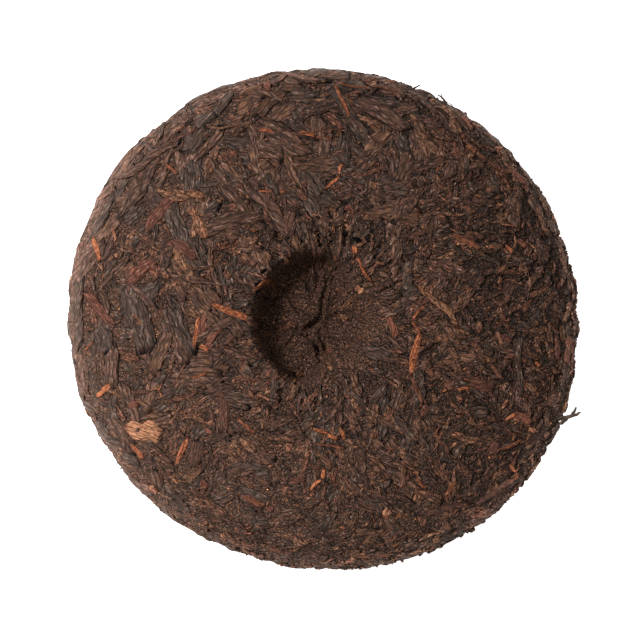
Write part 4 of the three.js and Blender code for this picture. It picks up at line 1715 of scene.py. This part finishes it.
    def strokes(
        self, tree: bpy.types.NodeTree, grain: bpy.types.NodeSocket, width: float, stretch: float
    ) -> bpy.types.NodeSocket:
        """Add a noise of short strokes along the grain.

        Args:
            tree: The node tree.
            grain: Place in the piece's own frame, in millimetres.
            width: Width of a stroke in millimetres.
            stretch: Length of a stroke over its width.

        Returns:
            The noise's value.
        """
        scale = (1.0 / (width * stretch), 1.0 / width, 1.0 / width)
        mapped = add_node(tree, "ShaderNodeMapping", {"Vector": grain, "Scale": scale})
        inputs = {"Vector": mapped.outputs["Vector"], "Scale": 1.0, "Detail": 2.0, "Roughness": 0.6}
        return add_node(tree, "ShaderNodeTexNoise", inputs).outputs["Fac"]


FINISHES: dict[Kind, WiltedLeafFinish] = {
    # Large whole leaves, pressed flat: grey brown, with painted shade in their long creases and little
    # contrast.
    Kind.DARK_LEAF: WiltedLeafFinish(
        "dark_wilted_leaf",
        {0.0: "#3a271f", 0.2: "#3f322a", 0.45: "#4a2f21", 0.75: "#553a2f", 1.0: "#5f3f29"},
        "#84462c",
        contrast=0.8,
        crease_shade=0.35,
        crease_mm=2.0,
        fibre_stretch=9.0,
        wrinkle_mm=0.85,
        wrinkle_stretch=3.0,
        depths_mm=(0.4, 0.35, 0.35),
    ),
    # Smaller leaves that were rolled: warm brown, and streaked by their short deep wrinkles.
    Kind.BROWN_LEAF: WiltedLeafFinish(
        "brown_wilted_leaf",
        {0.0: "#352119", 0.35: "#4b3022", 0.6: "#5d3625", 0.8: "#654634", 1.0: "#764c32"},
        "#8c4a2e",
        contrast=1.15,
        wrinkle_mm=0.72,
        fibre_stretch=4.0,
        wrinkle_stretch=1.6,
    ),
    # Old leaves that stay russet: smooth and softly mottled, so they show as calm red patches.
    Kind.RUSSET_LEAF: WiltedLeafFinish(
        "russet_leaf",
        {0.0: "#3e281e", 0.45: "#573225", 0.75: "#6c3c2c", 0.88: "#7e4a37", 1.0: "#b07a58"},
        "#8a4a32",
        contrast=0.5,
        mottle_mm=1.8,
        mottle_swing=0.7,
    ),
    # Bits of leaf with torn edges: high contrast, which makes the ground between look gritty.
    Kind.FRAGMENT: WiltedLeafFinish(
        "chopped_leaf",
        {0.0: "#2e1f18", 0.5: "#4e3223", 0.92: "#6b442d", 1.0: "#854a2e"},
        "#7a442e",
        contrast=1.4,
        fibre_stretch=5.0,
    ),
    # Dried twigs: smooth bark from brown to orange, the brightest sticks in the cake.
    Kind.STEM: WiltedLeafFinish(
        "dry_stem",
        {0.0: "#36241a", 0.5: "#4b2f22", 0.75: "#673a26", 0.9: "#8c4a2c", 1.0: "#b56a3f"},
        "#84482e",
        contrast=0.45,
        mottle_mm=1.3,
        mottle_swing=0.6,
        fibre_mm=0.35,
    ),
    # Crumbs of leaf, with a golden bud tip here and there.
    Kind.CRUMB: WiltedLeafFinish(
        "tea_crumbs",
        {0.0: "#312119", 0.6: "#543625", 0.95: "#69422b", 0.985: "#995532", 1.0: "#d59459"},
        "#7a4a30",
    ),
}
# Fine broken tea, kneaded to a mass: grains in all directions, with painted shade between them.
BED_FINISH = WiltedLeafFinish(
    "pressed_broken_tea",
    {0.0: "#38271e", 0.5: "#4e362a", 0.9: "#634331", 1.0: "#85503a"},
    "#7a442e",
    fibre_stretch=1.6,
    wrinkle_stretch=1.0,
    crease_stretch=1.6,
    contrast=1.4,
    depths_mm=(0.8, 0.4, 0.4),
)
# Thin loose veins of leaf, nearly black against the pale ground.
SHRED_FINISH = WiltedLeafFinish(
    "dark_loose_shred", {0.0: "#231b14", 1.0: "#4a3624"}, "#4a3624", fibre_mm=0.35
)


@dataclass
class Studio:
    """A pale lit table, one soft lamp at the left, white surroundings and the camera."""

    aim: tuple[float, float, float] = (-0.0014, -0.0009, 0.013)
    distance: float = 1.008
    tilt: float = 4.0
    lens: float = 146.55
    lamp_bearing: float = 162.0
    lamp_height: float = 48.0
    lamp_away: float = 1.3
    lamp_size: float = 0.32
    lamp_power: float = 25.0
    surroundings: float = 0.45
    table_glow: float = 1.0

    def build(self) -> None:
        """Set the table, the lamp, the surroundings and the camera."""
        self.table()
        self.lamp()
        self.world()
        self.camera()
        bpy.context.scene.view_settings.view_transform = "Standard"

    def table(self) -> None:
        """Make a wide pale table that glows a little, so that it shows white."""
        half = 3000.0
        corners = np.array([[-half, -half, 0], [half, -half, 0], [half, half, 0], [-half, half, 0]])
        table = make_mesh("pale_table", corners, np.array([[0, 1, 2, 3]]), {})
        material = bpy.data.materials.new("pale_table")
        material.use_nodes = True
        shader = material.node_tree.nodes["Principled BSDF"]
        shader.inputs["Base Color"].default_value = linear("#f4f4f4")
        shader.inputs["Roughness"].default_value = 0.9
        shader.inputs["Emission Color"].default_value = linear("#ffffff")
        shader.inputs["Emission Strength"].default_value = self.table_glow
        table.data.materials.append(material)

    def lamp(self) -> None:
        """Hang a soft square lamp at its bearing and height, turned to the cake."""
        data = bpy.data.lights.new("soft_lamp", "AREA")
        data.size = self.lamp_size
        data.energy = self.lamp_power
        lamp = bpy.data.objects.new("soft_lamp", data)
        bearing = math.radians(self.lamp_bearing)
        height = math.radians(self.lamp_height)
        direction = Vector(
            (
                math.cos(bearing) * math.cos(height),
                math.sin(bearing) * math.cos(height),
                math.sin(height),
            )
        )
        lamp.location = Vector(self.aim) + direction * self.lamp_away
        lamp.rotation_euler = direction.to_track_quat("Z", "Y").to_euler()
        bpy.context.scene.collection.objects.link(lamp)

    def world(self) -> None:
        """Give the scene even white surroundings."""
        world = bpy.data.worlds.new("white_room")
        world.use_nodes = True
        backdrop = world.node_tree.nodes["Background"]
        backdrop.inputs["Color"].default_value = (1.0, 1.0, 1.0, 1.0)
        backdrop.inputs["Strength"].default_value = self.surroundings
        bpy.context.scene.world = world

    def camera(self) -> None:
        """Place the camera over the cake, tilted a little towards its front."""
        data = bpy.data.cameras.new("camera")
        data.lens = self.lens
        data.sensor_width = 36.0
        camera = bpy.data.objects.new("camera", data)
        tilt = math.radians(self.tilt)
        direction = Vector((0.0, -math.sin(tilt), math.cos(tilt)))
        camera.location = Vector(self.aim) + direction * self.distance
        camera.rotation_euler = (tilt, 0.0, 0.0)
        bpy.context.scene.collection.objects.link(camera)
        bpy.context.scene.camera = camera


def bind(piece: bpy.types.Object, material: bpy.types.Material) -> None:
    """Dress a piece and tie it to the cake's CAD node.

    Args:
        piece: The piece.
        material: Its finish.
    """
    piece.data.materials.append(material)
    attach(piece, "root")
    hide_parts(NODE)
    LOG.info("%s: dressed as %s", piece.name, material.name)


def main() -> None:
    """Build the cake and its studio."""
    logging.basicConfig(level=logging.INFO, format="%(message)s")
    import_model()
    form = CakeForm()
    bind(TeaBed(form).build(), BED_FINISH.build())
    bind(LooseShreds(form).build(), SHRED_FINISH.build())
    for kind, piece in PressedTea(form).build().items():
        bind(piece, FINISHES[kind].build())
    Studio().build()
    LOG.info("built")


if __name__ == "__main__":
    main()
